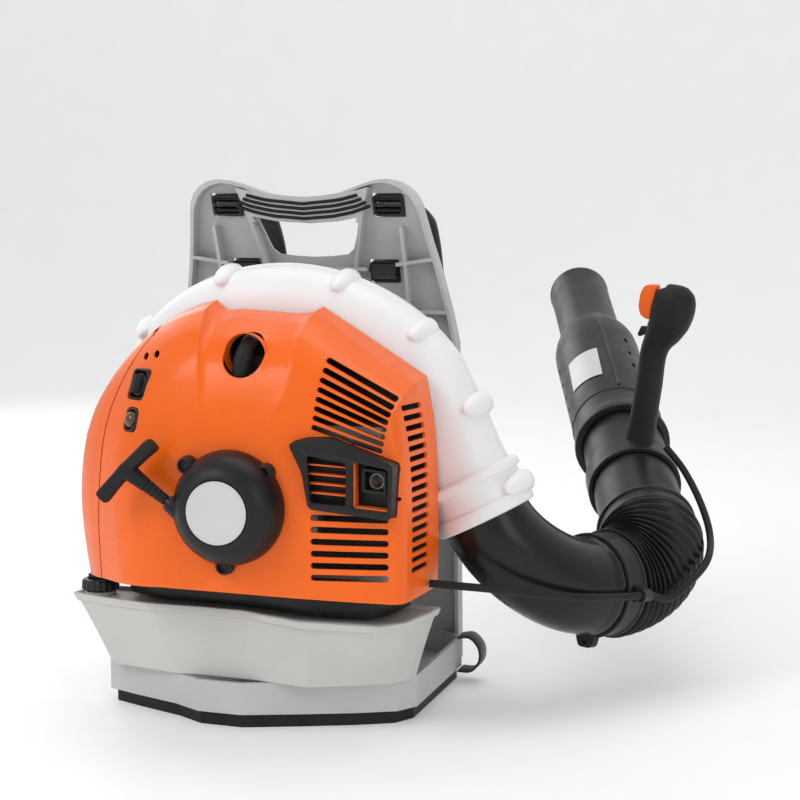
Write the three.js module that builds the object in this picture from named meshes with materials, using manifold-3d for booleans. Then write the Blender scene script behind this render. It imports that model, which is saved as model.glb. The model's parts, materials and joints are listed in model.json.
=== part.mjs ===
// Backpack petrol leaf blower. Millimetres, +Z up, the engine side faces -Y and the wearer's back +Y.
// The origin is on the ground, under the middle of the back frame.
import * as THREE from 'three';
import { mergeVertices } from 'three/addons/utils/BufferGeometryUtils.js';
import Module from 'manifold-3d';

const wasm = await Module();
wasm.setup();

// ---- driving dimensions ----
const GAP = 0.3;
const RUNNING_FIT = 1;                                  // clearance between pieces that touch
const CRANK_X = 10;                               // crankshaft axis, which runs along Y
const CRANK_Z = 216;
const FRAME_HALF_WIDTH = 152;                     // back frame
const SOLE_TOP = 13;
const BAND_TOP = 44;                              // top of the frame's base band, under the tank
const TANK_TOP = 112;
const SHROUD_BOTTOM = 132;
const SHROUD_REAR_Y = -40;
const SHROUD_WALL = 3;
const STARTER_RADIUS = 53;
const STARTER_BACK_Y = -145;
const STARTER_DEPTH = 38;
const PULLEY_RADIUS = 32;
const FAN_RADIUS = 130;
const HOUSING_FRONT_Y = -37;
const HOUSING_SPLIT_Y = 5;                        // parting line of the fan housing
const HOUSING_REAR_Y = 62;
const HOUSING_WALL = 3;
const DUCT_RADIUS = 43;                           // fan outlet
const ELBOW_END_RADIUS = 48;
const HOSE_RADIUS = 55;                           // over the pleats
const HOSE_BORE = 44;
const PLEATS = 10;
const TUBE_RADIUS = 46;
const SLEEVE_RADIUS = 52;
const NOZZLE_RADIUS = 38;
const TUBE_LENGTH = 645;                          // from the end of the hose to the mouth
const RING_STATION = 122;                         // handle clamp, along the tube
const CABLE_RADIUS = 3.8;

const V = (x, y, z) => new THREE.Vector3(x, y, z);
const UP = V(0, 0, 1);
const BACK = V(0, 1, 0);

// Air path: the duct outlet, the elbow's end, the hose's two ends and the tube's direction.
const OUTLET = V(215.5, HOUSING_SPLIT_Y, 191);
const OUTLET_DIR = V(0.45, 0, -0.893).normalize();
const ELBOW_END = V(297.5, 77, 115);
const ELBOW_DIR = V(0.455, 0.885, -0.09).normalize();
const CUFF_LENGTH = 34;
const HOSE_START = ELBOW_END.clone().addScaledVector(ELBOW_DIR, CUFF_LENGTH);
const HOSE_END = V(342, 196, 143);
const TUBE_DIR = V(-0.3, 0.886, 0.352).normalize();
const alongTube = (s) => HOSE_END.clone().addScaledVector(TUBE_DIR, s);

// Control handle: up the grip, towards the trigger, and across.
const GRIP_UP = V(0.149, -0.024, 0.988).normalize();
const GRIP_YAW = THREE.MathUtils.degToRad(60);
const tubeAhead = TUBE_DIR.clone().addScaledVector(GRIP_UP, -TUBE_DIR.dot(GRIP_UP)).normalize();
const GRIP_FRONT = tubeAhead.clone().applyAxisAngle(GRIP_UP, GRIP_YAW);
const GRIP_SIDE = GRIP_FRONT.clone().cross(GRIP_UP);
const RING_CENTRE = alongTube(RING_STATION);

// ---- colours ----
const ORANGE = 0xee6a1f;
const WHITE = 0xeeeeec;
const GREY = 0xa4a6a6;
const TANK_GREY = 0xb9b9b3;
const BLACK = 0x262726;
const SOFT_BLACK = 0x1c1c1d;
const ALUMINIUM = 0xb8bbbd;
const STEEL = 0x8f9396;
const AMBER = 0x6a4a2a;

const blower = new THREE.Group();

function add(name, geometry, color, roughness = 0.5, metalness = 0) {
  const material = new THREE.MeshStandardMaterial({ color, roughness, metalness });
  const mesh = new THREE.Mesh(geometry, material);
  mesh.name = name;
  blower.add(mesh);
}

// ---- solids ----
function solid(source) {
  const geometry = source.clone();
  geometry.deleteAttribute('normal');
  geometry.deleteAttribute('uv');
  const merged = mergeVertices(geometry, 1e-4);
  const mesh = new wasm.Mesh({
    numProp: 3,
    vertProperties: new Float32Array(merged.attributes.position.array),
    triVerts: new Uint32Array(merged.index.array),
  });
  return new wasm.Manifold(mesh);
}

function geometryOf(body) {
  const mesh = body.getMesh();
  const geometry = new THREE.BufferGeometry();
  geometry.setAttribute('position', new THREE.BufferAttribute(mesh.vertProperties, 3));
  geometry.setIndex(new THREE.BufferAttribute(mesh.triVerts, 1));
  geometry.computeVertexNormals();
  return geometry;
}

// Joins the first list and cuts the second list from it.
function shape(joined, cuts = []) {
  let body = solid(joined[0]);
  for (const piece of joined.slice(1)) body = body.add(solid(piece));
  for (const piece of cuts) body = body.subtract(solid(piece));
  return geometryOf(body);
}

function overlapOf(a, b) {
  return geometryOf(solid(a).intersect(solid(b)));
}

function block(x0, x1, y0, y1, z0, z1) {
  const geometry = new THREE.BoxGeometry(x1 - x0, y1 - y0, z1 - z0);
  return geometry.translate((x0 + x1) / 2, (y0 + y1) / 2, (z0 + z1) / 2);
}

// Moves geometry made round +Z to a point and direction, with its X axis near the hint.
function place(geometry, origin, direction, wanted = V(1, 0, 0)) {
  const z = direction.clone().normalize();
  const hint = Math.abs(z.dot(wanted)) > 0.95 ? BACK : wanted;
  const y = z.clone().cross(hint).normalize();
  const x = y.clone().cross(z);
  const matrix = new THREE.Matrix4().makeBasis(x, y, z).setPosition(origin);
  return geometry.applyMatrix4(matrix);
}

function rod(origin, direction, length, radius, sides = 14, endRadius = radius) {
  const geometry = new THREE.CylinderGeometry(endRadius, radius, length, sides);
  geometry.rotateX(Math.PI / 2).translate(0, 0, length / 2);
  return place(geometry, origin, direction);
}

// A turned piece: the profile holds [radius, distance along the axis] and closes on itself.
function turned(profile, origin, direction, sides = 18) {
  const points = [...profile, profile[0]].map(([r, s]) => new THREE.Vector2(r, s));
  const geometry = new THREE.LatheGeometry(points, sides).rotateX(Math.PI / 2);
  if (geometryVolume(geometry) < 0) flip(geometry);
  return place(geometry, origin, direction);
}

function pipe(outer, inner, length, origin, direction, sides = 18) {
  return turned([[inner, 0], [outer, 0], [outer, length], [inner, length]], origin, direction, sides);
}

function geometryVolume(geometry) {
  const p = geometry.attributes.position;
  let volume = 0;
  for (let i = 0; i < geometry.index.count; i += 3) {
    const [a, b, c] = [0, 1, 2].map((k) => V(0, 0, 0).fromBufferAttribute(p, geometry.index.getX(i + k)));
    volume += a.dot(b.cross(c)) / 6;
  }
  return volume;
}

function flip(geometry) {
  const list = geometry.index.array;
  for (let i = 0; i < list.length; i += 3) [list[i + 1], list[i + 2]] = [list[i + 2], list[i + 1]];
}

function outlineShape(points, holes = []) {
  const outline = new THREE.Shape(points.map(([a, b]) => new THREE.Vector2(a, b)));
  for (const hole of holes) outline.holes.push(new THREE.Path(hole.map(([a, b]) => new THREE.Vector2(a, b))));
  return outline;
}

function extruded(points, depth, holes) {
  return new THREE.ExtrudeGeometry(outlineShape(points, holes), { depth, bevelEnabled: false });
}

const prismXY = (points, z0, z1, holes) => extruded(points, z1 - z0, holes).translate(0, 0, z0);
const prismXZ = (points, y0, y1, holes) => extruded(points, y1 - y0, holes).rotateX(Math.PI / 2).translate(0, y1, 0);

function prismYZ(points, x0, x1) {
  const basis = new THREE.Matrix4().makeBasis(V(0, 1, 0), V(0, 0, 1), V(1, 0, 0));
  return extruded(points, x1 - x0).applyMatrix4(basis).translate(x0, 0, 0);
}

// A skin over rings of equal size. Open ends are capped; a looped one joins its last ring to its first.
function loft(rings, looped = false) {
  const sides = rings[0].length;
  const points = rings.flat();
  const index = [];
  const bands = looped ? rings.length : rings.length - 1;
  for (let r = 0; r < bands; r += 1) {
    const here = r * sides;
    const next = ((r + 1) % rings.length) * sides;
    for (let i = 0; i < sides; i += 1) {
      const j = (i + 1) % sides;
      index.push(here + i, here + j, next + i, here + j, next + j, next + i);
    }
  }
  if (!looped) {
    for (const [ring, start, reverse] of [[rings[0], 0, true], [rings.at(-1), (rings.length - 1) * sides, false]]) {
      const middle = points.length;
      points.push(ring.reduce((sum, p) => sum.add(p), V(0, 0, 0)).divideScalar(sides));
      for (let i = 0; i < sides; i += 1) {
        const pair = [start + i, start + ((i + 1) % sides)];
        if (reverse) pair.reverse();
        index.push(...pair, middle);
      }
    }
  }
  const geometry = new THREE.BufferGeometry().setFromPoints(points);
  geometry.setIndex(index);
  if (geometryVolume(geometry) < 0) flip(geometry);
  return geometry;
}

function circle(centre, direction, radius, sides, hint = UP) {
  const a = direction.clone().cross(hint).normalize();
  const b = direction.clone().cross(a).normalize();
  return Array.from({ length: sides }, (_, i) => {
    const t = (2 * Math.PI * i) / sides;
    return centre.clone().addScaledVector(a, radius * Math.cos(t)).addScaledVector(b, radius * Math.sin(t));
  });
}

// A closed solid of revolution through stations of [distance, radius].
function dome(stations, origin, direction, sides) {
  return loft(stations.map(([s, r]) => circle(origin.clone().addScaledVector(direction, s), direction, r, sides)));
}

// Point and direction at t on a smooth curve between two points with given end directions.
function between(p0, d0, p1, d1, pull, t) {
  const h = (a, b, c, d) => p0.clone().multiplyScalar(a).addScaledVector(d0, b * pull)
    .addScaledVector(p1, c).addScaledVector(d1, d * pull);
  const point = h(2 * t ** 3 - 3 * t ** 2 + 1, t ** 3 - 2 * t ** 2 + t, 3 * t ** 2 - 2 * t ** 3, t ** 3 - t ** 2);
  const along = h(6 * t ** 2 - 6 * t, 3 * t ** 2 - 4 * t + 1, 6 * t - 6 * t ** 2, 3 * t ** 2 - 2 * t);
  return { point, along: along.normalize() };
}

function cable(points, radius, steps, sides = 7) {
  const path = new THREE.CatmullRomCurve3(points, false, 'centripetal');
  const section = new THREE.Shape();
  for (let i = 0; i < sides; i += 1) {
    const a = (2 * Math.PI * i) / sides;
    section[i ? 'lineTo' : 'moveTo'](radius * Math.cos(a), radius * Math.sin(a));
  }
  return new THREE.ExtrudeGeometry(section, { steps, extrudePath: path, bevelEnabled: false });
}

// ---- back frame, sole and tank ----
// Front line of the base seen from above, from the left side round the front to the right side.
const BASE_FRONT = [[-150, -66], [-118, -80], [-66, -100], [-36, -118], [8, -120], [58, -102], [108, -82], [144, -64], [157, -42]];
const BASE_BACK_Y = 146;
const basePlan = (grow) => [
  ...BASE_FRONT.map(([x, y]) => [x * (1 + grow / 150), y - grow]),
  [157 + grow, BASE_BACK_Y - 26], [130, BASE_BACK_Y + grow], [-130, BASE_BACK_Y + grow], [-157 - grow, BASE_BACK_Y - 26],
];

// Height to depth of the plate behind the engine: upright low down, leaning towards the engine at the top.
const PLATE_PROFILE = [[14, 148], [60, 146], [200, 140], [300, 137], [380, 131], [426, 119], [492, 93], [520, 84]];
const plateBand = (near, far) => [
  ...PLATE_PROFILE.map(([z, y]) => [y + near, z]),
  ...[...PLATE_PROFILE].reverse().map(([z, y]) => [y + far, z]),
];
const PLATE_SIDE = [[FRAME_HALF_WIDTH, 15], [FRAME_HALF_WIDTH, 351], [142, 402], [136, 432], [131, 455], [126, 482],
  [123.5, 494], [119, 503], [112, 510.5],
  [103, 515.5], [92, 518], [80, 517], [66, 513], [52, 508], [40, 504], [20, 501]];
const plateOutline = (inset) => {
  const side = PLATE_SIDE.map(([x, z]) => [x - inset * Math.min(1, x / 90), z + inset * (z > 490 ? -1 : z < 16 ? 1 : 0)]);
  return [...side, [0, 500 - inset], ...[...side].reverse().map(([x, z]) => [-x, z])];
};
const WINDOW = [[-45, 447], [-38, 441], [-20, 439], [0, 438], [20, 439], [38, 441], [45, 447], [57, 480], [30, 475], [0, 473], [-30, 475], [-57, 480]];
const SLOTS = [[-88, 492, 34, 24], [88, 492, 34, 24], [-76, 424, 32, 24], [76, 424, 32, 24]];

// Rubber mounts between the fan housing and the plate, in X and Z.
const MOUNTS = [[-84, 156], [100, 162], [-72, 318], [92, 318]];
const MOUNT_REAR_Y = 121;
const rubberMount = ([x, z]) => rod(V(x, HOUSING_REAR_Y + GAP, z), BACK, MOUNT_REAR_Y - HOUSING_REAR_Y - GAP, 12, 12);

function backFrame() {
  const depth = 14;
  const skin = overlapOf(prismYZ(plateBand(0, 3.5), -160, 160), prismXZ(plateOutline(0), 40, 160));
  const wall = prismXZ(plateOutline(0), 40, 160, [plateOutline(4)]);
  const bars = [
    ...[-1, 1].map((s) => prismXZ([[s * 40, 400], [s * 44, 400], [s * 66, 492], [s * 62, 492]], 40, 160)),
    prismXZ([[-140, 436], [-60, 424], [60, 424], [140, 436], [140, 440], [60, 428], [-60, 428], [-140, 440]], 40, 160),
    ...[300, 380].map((z) => block(-145, 145, 40, 160, z, z + 4)),
    ...[-1, 1].map((s) => block(Math.min(s * 100, s * 104), Math.max(s * 100, s * 104), 40, 160, 16, 470)),
    prismXZ([[-60, 474], [60, 474], [72, 510], [40, 502], [0, 498], [-40, 502], [-72, 510]], 40, 160),
  ];
  const webs = overlapOf(prismYZ(plateBand(-depth, 2), -160, 160), shape([wall, ...bars]));
  const webTrimmed = overlapOf(webs, prismXZ(plateOutline(0), 40, 160));
  const floor = prismXY(basePlan(0), SOLE_TOP + GAP, SOLE_TOP + 7);
  const band = shape([prismXY(basePlan(2), SOLE_TOP + GAP, BAND_TOP)], [prismXY(basePlan(-2), SOLE_TOP + 6, BAND_TOP + 5)]);
  const bosses = MOUNTS.map(([x, z]) => rod(V(x, MOUNT_REAR_Y + GAP, z), BACK, 20, 15, 10));
  const strapSlots = SLOTS.map(([x, z, w, h]) => block(x - w / 2, x + w / 2, 60, 170, z - h / 2, z + h / 2));
  return shape([floor, band, skin, webTrimmed, ...bosses], [prismXZ(WINDOW, 40, 170), ...strapSlots]);
}

function sole() {
  const plan = basePlan(-3);
  const pockets = [];
  for (let i = 0; i < 6; i += 1) pockets.push(block(-96 + i * 36, -72 + i * 36, 30, 100, -1, 6));
  const foot = rod(V(-14, -104, 0), UP, SOLE_TOP, 12, 14);
  return shape([prismXY(plan, 0, SOLE_TOP), foot], pockets);
}

const TANK_RIM = [[-182, -84], [-150, -95], [-92, -107], [-38, -107], [8, -110], [26, -118], [74, -137], [150, -136],
  [168, -114], [178, -67], [180, -45], [-176, -45]];
const TANK_FOOT = [[-141, -88], [-104, -98], [-66, -108], [-38, -108], [8, -110], [26, -112], [74, -122], [112, -104],
  [146, -84], [158, -66], [160, -48], [-142, -48]];

function tankRing(z, grow) {
  const t = (z - BAND_TOP) / (TANK_TOP - BAND_TOP);
  return TANK_RIM.map(([x, y], i) => {
    const [fx, fy] = TANK_FOOT[i];
    const px = fx + (x - fx) * t ** 1.3;
    const py = fy + (y - fy) * t ** 1.3;
    const middleY = -80;
    return V(px * (1 + grow / 170), middleY + (py - middleY) * (1 + grow / 32), z);
  });
}

const CAP_X = -161;
const CAP_Y = -69;

function fuelTank() {
  const low = BAND_TOP + GAP;
  const body = loft([tankRing(low, 0), tankRing(66, 0), tankRing(90, 0), tankRing(105, 0)]);
  const rim = loft([tankRing(104, 2.5), tankRing(TANK_TOP, 2.5)]);
  const hollow = loft([tankRing(low + 3, -4), tankRing(90, -4), tankRing(TANK_TOP - 3, -4)]);
  const neck = rod(V(CAP_X, CAP_Y, TANK_TOP - 8), UP, 9, 15, 18);
  const mouth = rod(V(CAP_X, CAP_Y, TANK_TOP - 12), UP, 40, 12, 18);
  const vent = rod(V(120, -80, TANK_TOP - 12), UP, 30, 3, 10);
  return shape([body, rim, neck], [hollow, mouth, vent]);
}

function fuelCap() {
  const base = V(CAP_X, CAP_Y, TANK_TOP + 1 + GAP);
  const ribs = Array.from({ length: 6 }, (_, i) => {
    const a = (2 * Math.PI * i) / 6;
    return rod(V(base.x + 17 * Math.cos(a), base.y + 17 * Math.sin(a), base.z), UP, 10, 2.4, 5);
  });
  const plug = rod(V(base.x, base.y, base.z - 9), UP, 12, 11, 12);
  return shape([rod(base, UP, 11, 17, 16), plug, ...ribs]);
}

// ---- engine shroud ----
const SHROUD_OUTLINE = [[-176, SHROUD_BOTTOM - 6], [-181, 156], [-185, 196], [-184, 232], [-178, 268], [-167, 298],
  [-150, 326], [-131, 350], [-110, 370], [-84, 387], [-42, 397], [-25, 400], [-13, 388], [20, 391], [57, 383], [64, 397],
  [101, 381], [136, 358], [160, 334], [170, 312], [175, 286], [178, 233], [178, SHROUD_BOTTOM + 2],
  [80, SHROUD_BOTTOM], [-60, SHROUD_BOTTOM]];
// Depth, then how far the left side, the top and the right side draw in there.
const SHROUD_SECTIONS = [[-40, 0, 0, 0], [-75, 8, 7, 2], [-105, 42, 22, 4], [-125, 66, 44, 7], [-135, 84, 68, 12],
  [-141, 100, 92, 55], [-145, 122, 125, 100]];

function shroudRing(y, left, top, right, inset) {
  return SHROUD_OUTLINE.map(([x, z]) => {
    const wl = Math.max(0, (10 - x) / 190) ** 1.2;
    const wr = Math.max(0, (x - 10) / 168) ** 1.2;
    const wt = Math.max(0, (z - 240) / 155) ** 1.1;
    const px = x + (left + inset) * wl - (right + inset) * wr;
    const pz = z - (top + inset) * wt - (z < 200 && inset ? 30 : 0);
    return V(px, y, pz);
  });
}

function shroudSkin() {
  const outer = loft(SHROUD_SECTIONS.map(([y, l, t, r]) => shroudRing(y, l, t, r, 0)));
  const innerSections = SHROUD_SECTIONS.map(([y, l, t, r]) => [y + SHROUD_WALL, l, t, r]);
  innerSections[0][0] = SHROUD_REAR_Y + 10;
  const inner = loft(innerSections.map(([y, l, t, r]) => shroudRing(y, l, t, r, SHROUD_WALL)));
  return shape([outer], [inner]);
}

// Seam between the shroud and the air filter cover on its left.
const SEAM = [[-86, 420], [-89, 379], [-108, 350], [-127, 311], [-137, 277], [-143, 229], [-146, 180], [-145, 60]];
const leftOfSeam = (shift) => prismXZ([...SEAM.map(([x, z]) => [x + shift, z]), [-260, 60], [-260, 420]], -200, 0);

function slantedSlots(count, x0, x1, z0, z1, slope, height) {
  return Array.from({ length: count }, (_, i) => {
    const z = z0 + ((z1 - z0) * i) / (count - 1);
    return prismXZ([[x0, z], [x1, z - slope], [x1, z - slope + height], [x0, z + height]], -190, -60);
  });
}

const TRIM = [[66, 276], [90, 284], [166, 262], [165, 211], [86, 220], [80, 258]];
const trimOutline = (scale) => TRIM.map(([x, z]) => [116 + (x - 116) * scale, 246 + (z - 246) * scale]);
const KNOB = V(-94.5, -116.5, 324);
const BULB = V(-98, -127.5, 291.5);
const PANEL_OUT = V(-0.55, -0.79, 0.27).normalize();

function engineShroud(skin) {
  const holes = [
    leftOfSeam(GAP / 2),
    rod(V(CRANK_X, -200, CRANK_Z), BACK, 100, 47, 18),
    rod(V(14, -180, 354), BACK, 120, 24, 14),
    prismXZ(trimOutline(1.012), -190, -60),
    ...slantedSlots(7, 92, 162, 294, 358, 16, 4.5),
    ...slantedSlots(4, 90, 162, 158, 198, 0, 4.5),
    ...Array.from({ length: 7 }, (_, i) => block(150, 200, -116, -72, 162 + i * 21, 168 + i * 21)),
    rod(KNOB.clone().addScaledVector(PANEL_OUT, 30), PANEL_OUT.clone().negate(), 80, 13.5, 12),
    rod(BULB.clone().addScaledVector(PANEL_OUT, 30), PANEL_OUT.clone().negate(), 80, 9.5, 12),
  ];
  return shape([skin], holes);
}

function filterCover(skin) {
  return overlapOf(skin, leftOfSeam(-GAP / 2));
}

// ---- starter ----
const ROPE_DIR = V(-0.83, 0, 0.558).normalize();
const PULLEY_CENTRE = V(CRANK_X, -164, CRANK_Z);
const ROPE_SIDE = V(-ROPE_DIR.z, 0, ROPE_DIR.x);
const ROPE_LAY = 26;                              // radius the rope is wound at
const ROPE_START = PULLEY_CENTRE.clone().addScaledVector(ROPE_SIDE, ROPE_LAY);
const GUIDE_AT = 46;                              // rope guide, along the rope from where it leaves the pulley
const GRIP_AT = 97;                               // grip bar
const LUGS = [[-31, 254], [46, 250], [6, 162]];

function starterCover() {
  const guide = ROPE_START.clone().addScaledVector(ROPE_DIR, GUIDE_AT - 20);
  const base = V(CRANK_X, STARTER_BACK_Y - GAP, CRANK_Z);
  const front = V(0, -1, 0);
  const filled = dome([[0, STARTER_RADIUS], [14, 51], [26, 46], [34, 38], [STARTER_DEPTH, 33]], base, front, 18);
  const cavity = dome([[-1, 50], [14, 48], [26, 43], [35, 33]], base, front, 18);
  const nose = rod(guide, ROPE_DIR, 22, 9, 10, 7);
  const bosses = LUGS.map(([x, z]) => rod(V(x, base.y, z), front, 10, 8, 8));
  const bore = rod(guide.clone().addScaledVector(ROPE_DIR, -14), ROPE_DIR, 50, 2.8, 8);
  const shell = shape([filled, nose, ...bosses], [cavity, bore]);
  const post = rod(V(CRANK_X, base.y - STARTER_DEPTH + 1, CRANK_Z), BACK, 26, 5.6, 10);
  return shape([shell, post]);
}

function starterPulley() {
  const front = V(PULLEY_CENTRE.x, PULLEY_CENTRE.y - 7, PULLEY_CENTRE.z);
  const r = PULLEY_RADIUS;
  return turned([[6, 0], [r + 2, 0], [r + 2, 2], [r - 8, 4], [r - 8, 10], [r + 2, 12], [r + 2, 14], [6, 14]], front, BACK, 16);
}

function woundRope() {
  const start = V(PULLEY_CENTRE.x, PULLEY_CENTRE.y - 2.5, PULLEY_CENTRE.z);
  return pipe(ROPE_LAY + 1.8, PULLEY_RADIUS - 8 + GAP / 2, 5, start, BACK, 16);
}

function rewindSpring() {
  return pipe(24, 7, 6, V(PULLEY_CENTRE.x, PULLEY_CENTRE.y - 13.6, PULLEY_CENTRE.z), BACK, 16);
}

const freeRope = () => rod(ROPE_START.clone().addScaledVector(ROPE_DIR, 16), ROPE_DIR, GUIDE_AT, 2, 8);

function starterGrip() {
  const bar = ROPE_START.clone().addScaledVector(ROPE_DIR, GRIP_AT);
  const across = V(0.707, 0, 0.707).normalize();
  const stations = [[-40, 6], [-37, 7.5], [0, 7], [37, 7.5], [40, 6]];
  const rings = stations.map(([s, r]) => circle(bar.clone().addScaledVector(across, s), across, r, 10, BACK));
  const stem = rod(ROPE_START.clone().addScaledVector(ROPE_DIR, GUIDE_AT + 4), ROPE_DIR, GRIP_AT - GUIDE_AT - 2, 5, 10, 9);
  const bore = rod(ROPE_START.clone().addScaledVector(ROPE_DIR, GUIDE_AT), ROPE_DIR, 18, 2.8, 8);
  return shape([loft(rings), stem], [bore]);
}

// ---- fan housing ----
// Radius of the volute: it grows clockwise from the tongue beside the outlet.
function voluteRadius(angle) {
  const swept = (360 + 350 - angle) % 360;        // degrees clockwise from the tongue
  return swept < 210 ? 152 + (66 * swept) / 210 : 218;
}

const VOLUTE_SIDES = 24;

function voluteRing(y, inset) {
  return Array.from({ length: VOLUTE_SIDES }, (_, i) => {
    const angle = (360 * i) / VOLUTE_SIDES;
    const r = voluteRadius(angle) - inset;
    const a = THREE.MathUtils.degToRad(angle);
    return V(CRANK_X + r * Math.cos(a), y, CRANK_Z + r * Math.sin(a));
  });
}

// Duct stations: centre in X and Z, direction in X and Z, half width and half depth.
const DUCT_STATIONS = [[112, 352, 0.78, -0.62, 52, 36], [140, 326, 0.72, -0.69, 51, 39], [168, 293, 0.62, -0.78, 49, 42],
  [196, 252, 0.52, -0.85, 50, 43], [OUTLET.x, 221, OUTLET_DIR.x, OUTLET_DIR.z, 50, 44]];

const DUCT_SIDES = 14;

function ductRings(inset) {
  return DUCT_STATIONS.map(([x, z, dx, dz, w, h]) => Array.from({ length: DUCT_SIDES }, (_, i) => {
    const t = (2 * Math.PI * i) / DUCT_SIDES;
    const across = Math.sign(Math.cos(t)) * Math.abs(Math.cos(t)) ** 0.75 * (w - inset);
    const depth = Math.sign(Math.sin(t)) * Math.abs(Math.sin(t)) ** 0.75 * (h - inset);
    return V(x - dz * across, HOUSING_SPLIT_Y + depth, z + dx * across);
  }));
}

const BOSSES = [[-140, 369], [-46, 428], [103, 416], [180, 366], [222, 300]];

function fanHousing() {
  const w = HOUSING_WALL;
  const outer = loft([voluteRing(HOUSING_FRONT_Y, 34), voluteRing(-29, 12), voluteRing(HOUSING_SPLIT_Y, 0),
    voluteRing(50, 14), voluteRing(HOUSING_REAR_Y, 36)]);
  const inner = loft([voluteRing(HOUSING_FRONT_Y + w, 36), voluteRing(-27, 15), voluteRing(HOUSING_SPLIT_Y, w),
    voluteRing(48, 17), voluteRing(HOUSING_REAR_Y - w, 39)]);
  const flange = loft([voluteRing(HOUSING_SPLIT_Y - 3, -4), voluteRing(HOUSING_SPLIT_Y + 3, -4)]);
  const collarStart = OUTLET.clone().addScaledVector(OUTLET_DIR, -40);
  const collar = rod(collarStart, OUTLET_DIR, 40, DUCT_RADIUS + 5, 16);
  const collarBore = rod(collarStart.clone().addScaledVector(OUTLET_DIR, -10), OUTLET_DIR, 80, DUCT_RADIUS + 2, 16);
  const bosses = BOSSES.map(([x, z]) => rod(V(x, HOUSING_SPLIT_Y - 12, z), BACK, 24, 7.5, 6));
  const shaftHole = rod(V(CRANK_X, HOUSING_FRONT_Y - 5, CRANK_Z), BACK, 20, 22, 12);
  const intake = rod(V(CRANK_X, 40, CRANK_Z), BACK, 40, 82, 16);
  const all = solid(shape([outer, flange, loft(ductRings(0)), collar, ...bosses], [inner, loft(ductRings(w)), collarBore, shaftHole, intake]));
  const front = block(-300, 400, -100, HOUSING_SPLIT_Y - GAP / 2, -100, 600);
  const rear = block(-300, 400, HOUSING_SPLIT_Y + GAP / 2, 200, -100, 600);
  return [front, rear].map((half) => geometryOf(all.intersect(solid(half))));
}

function intakeGrille() {
  const y0 = HOUSING_REAR_Y + GAP;
  const rings = [[84, 90], [45, 50]].map(([a, b]) => pipe(b, a, 4, V(CRANK_X, y0, CRANK_Z), BACK, 16));
  const hub = rod(V(CRANK_X, y0, CRANK_Z), BACK, 4, 12, 10);
  const spokes = Array.from({ length: 6 }, (_, i) => block(4, 87, 0, 4, -2.2, 2.2).rotateY((i * Math.PI) / 3).translate(CRANK_X, y0, CRANK_Z));
  return shape([...rings, hub, ...spokes]);
}

function fanWheel() {
  const y = -24;
  const disc = rod(V(CRANK_X, y, CRANK_Z), BACK, 4, FAN_RADIUS, 20);
  const hub = rod(V(CRANK_X, y, CRANK_Z), BACK, 34, 24, 12);
  const blades = Array.from({ length: 10 }, (_, i) => {
    const blade = block(30, FAN_RADIUS - 1, 0, 52, -1.4, 1.4).rotateY(0.22).translate(8, 0, 14);
    return blade.rotateY((2 * Math.PI * i) / 10).translate(CRANK_X, y + 3, CRANK_Z);
  });
  const bore = rod(V(CRANK_X, y - 5, CRANK_Z), BACK, 60, 8 + 2 * GAP, 14);
  return shape([disc, hub, ...blades], [bore]);
}

// ---- engine ----
function crankshaft() {
  const at = (y) => V(CRANK_X, y, CRANK_Z);
  return shape([rod(at(-150), BACK, 170, 8, 14), rod(at(-99), BACK, 14, 27, 16), rod(at(-75), BACK, 14, 27, 16)]);
}

function fanNut() {
  return shape([rod(V(CRANK_X, 10 + GAP, CRANK_Z), BACK, 7, 12, 6)], [rod(V(CRANK_X, 0, CRANK_Z), BACK, 30, 8.6, 14)]);
}

function flywheel() {
  const y = -141;
  const rim = turned([[8.6, 0], [44, 0], [44, 14], [38, 16], [8.6, 16]], V(CRANK_X, y, CRANK_Z), BACK, 20);
  const vanes = Array.from({ length: 8 }, (_, i) => block(20, 42, -4.5, 1, -1.5, 1.5).rotateY((i * Math.PI) / 4).translate(CRANK_X, y, CRANK_Z));
  return shape([rim, ...vanes]);
}

function crankcase() {
  const outer = rod(V(CRANK_X, -107, CRANK_Z), BACK, 62, 38, 16);
  const top = block(CRANK_X - 33, CRANK_X + 33, -104, -48, 228, 262);
  const feet = [-1, 1].map((s) => block(CRANK_X + s * 40 - 14, CRANK_X + s * 40 + 14, -60, HOUSING_FRONT_Y - GAP, 176, 250));
  const chamber = rod(V(CRANK_X, -103, CRANK_Z), BACK, 44, 30, 16);
  const bore = rod(V(CRANK_X, -120, CRANK_Z), BACK, 100, 9, 14);
  const barrel = rod(V(CRANK_X, -80, 229), UP, 60, 22, 16);
  return shape([outer, top, ...feet], [chamber, bore, barrel]);
}

const PLUG_NOSE = V(CRANK_X, -112, 328);
const PLUG_DIR = V(0, 1, -0.1).normalize();

function cylinder() {
  const core = block(CRANK_X - 27, CRANK_X + 27, -104, -54, 262 + GAP, 334);
  const fins = Array.from({ length: 5 }, (_, i) => block(CRANK_X - 40, CRANK_X + 40, -107, -48, 270 + i * 12, 273 + i * 12));
  const port = block(CRANK_X + 20, CRANK_X + 62, -92, -70, 276, 300);
  const inlet = block(CRANK_X - 70, CRANK_X - 20, -90, -70, 276, 296);
  const bore = rod(V(CRANK_X, -80, 255), UP, 68, 22, 16);
  const plugHole = rod(PLUG_NOSE, PLUG_DIR, 45, 6.5, 12);
  const seat = rod(PLUG_NOSE, PLUG_DIR, 7.6, 11.5, 12);
  return shape([core, ...fins, port, inlet], [bore, plugHole, seat]);
}

function piston() {
  const crown = rod(V(CRANK_X, -80, 280), UP, 26, 21.3, 16);
  const skirt = rod(V(CRANK_X, -80, 270), UP, 24, 17, 16);
  const pin = rod(V(CRANK_X, -110, 284), BACK, 60, 5, 12);
  return shape([crown], [skirt, pin]);
}

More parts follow.
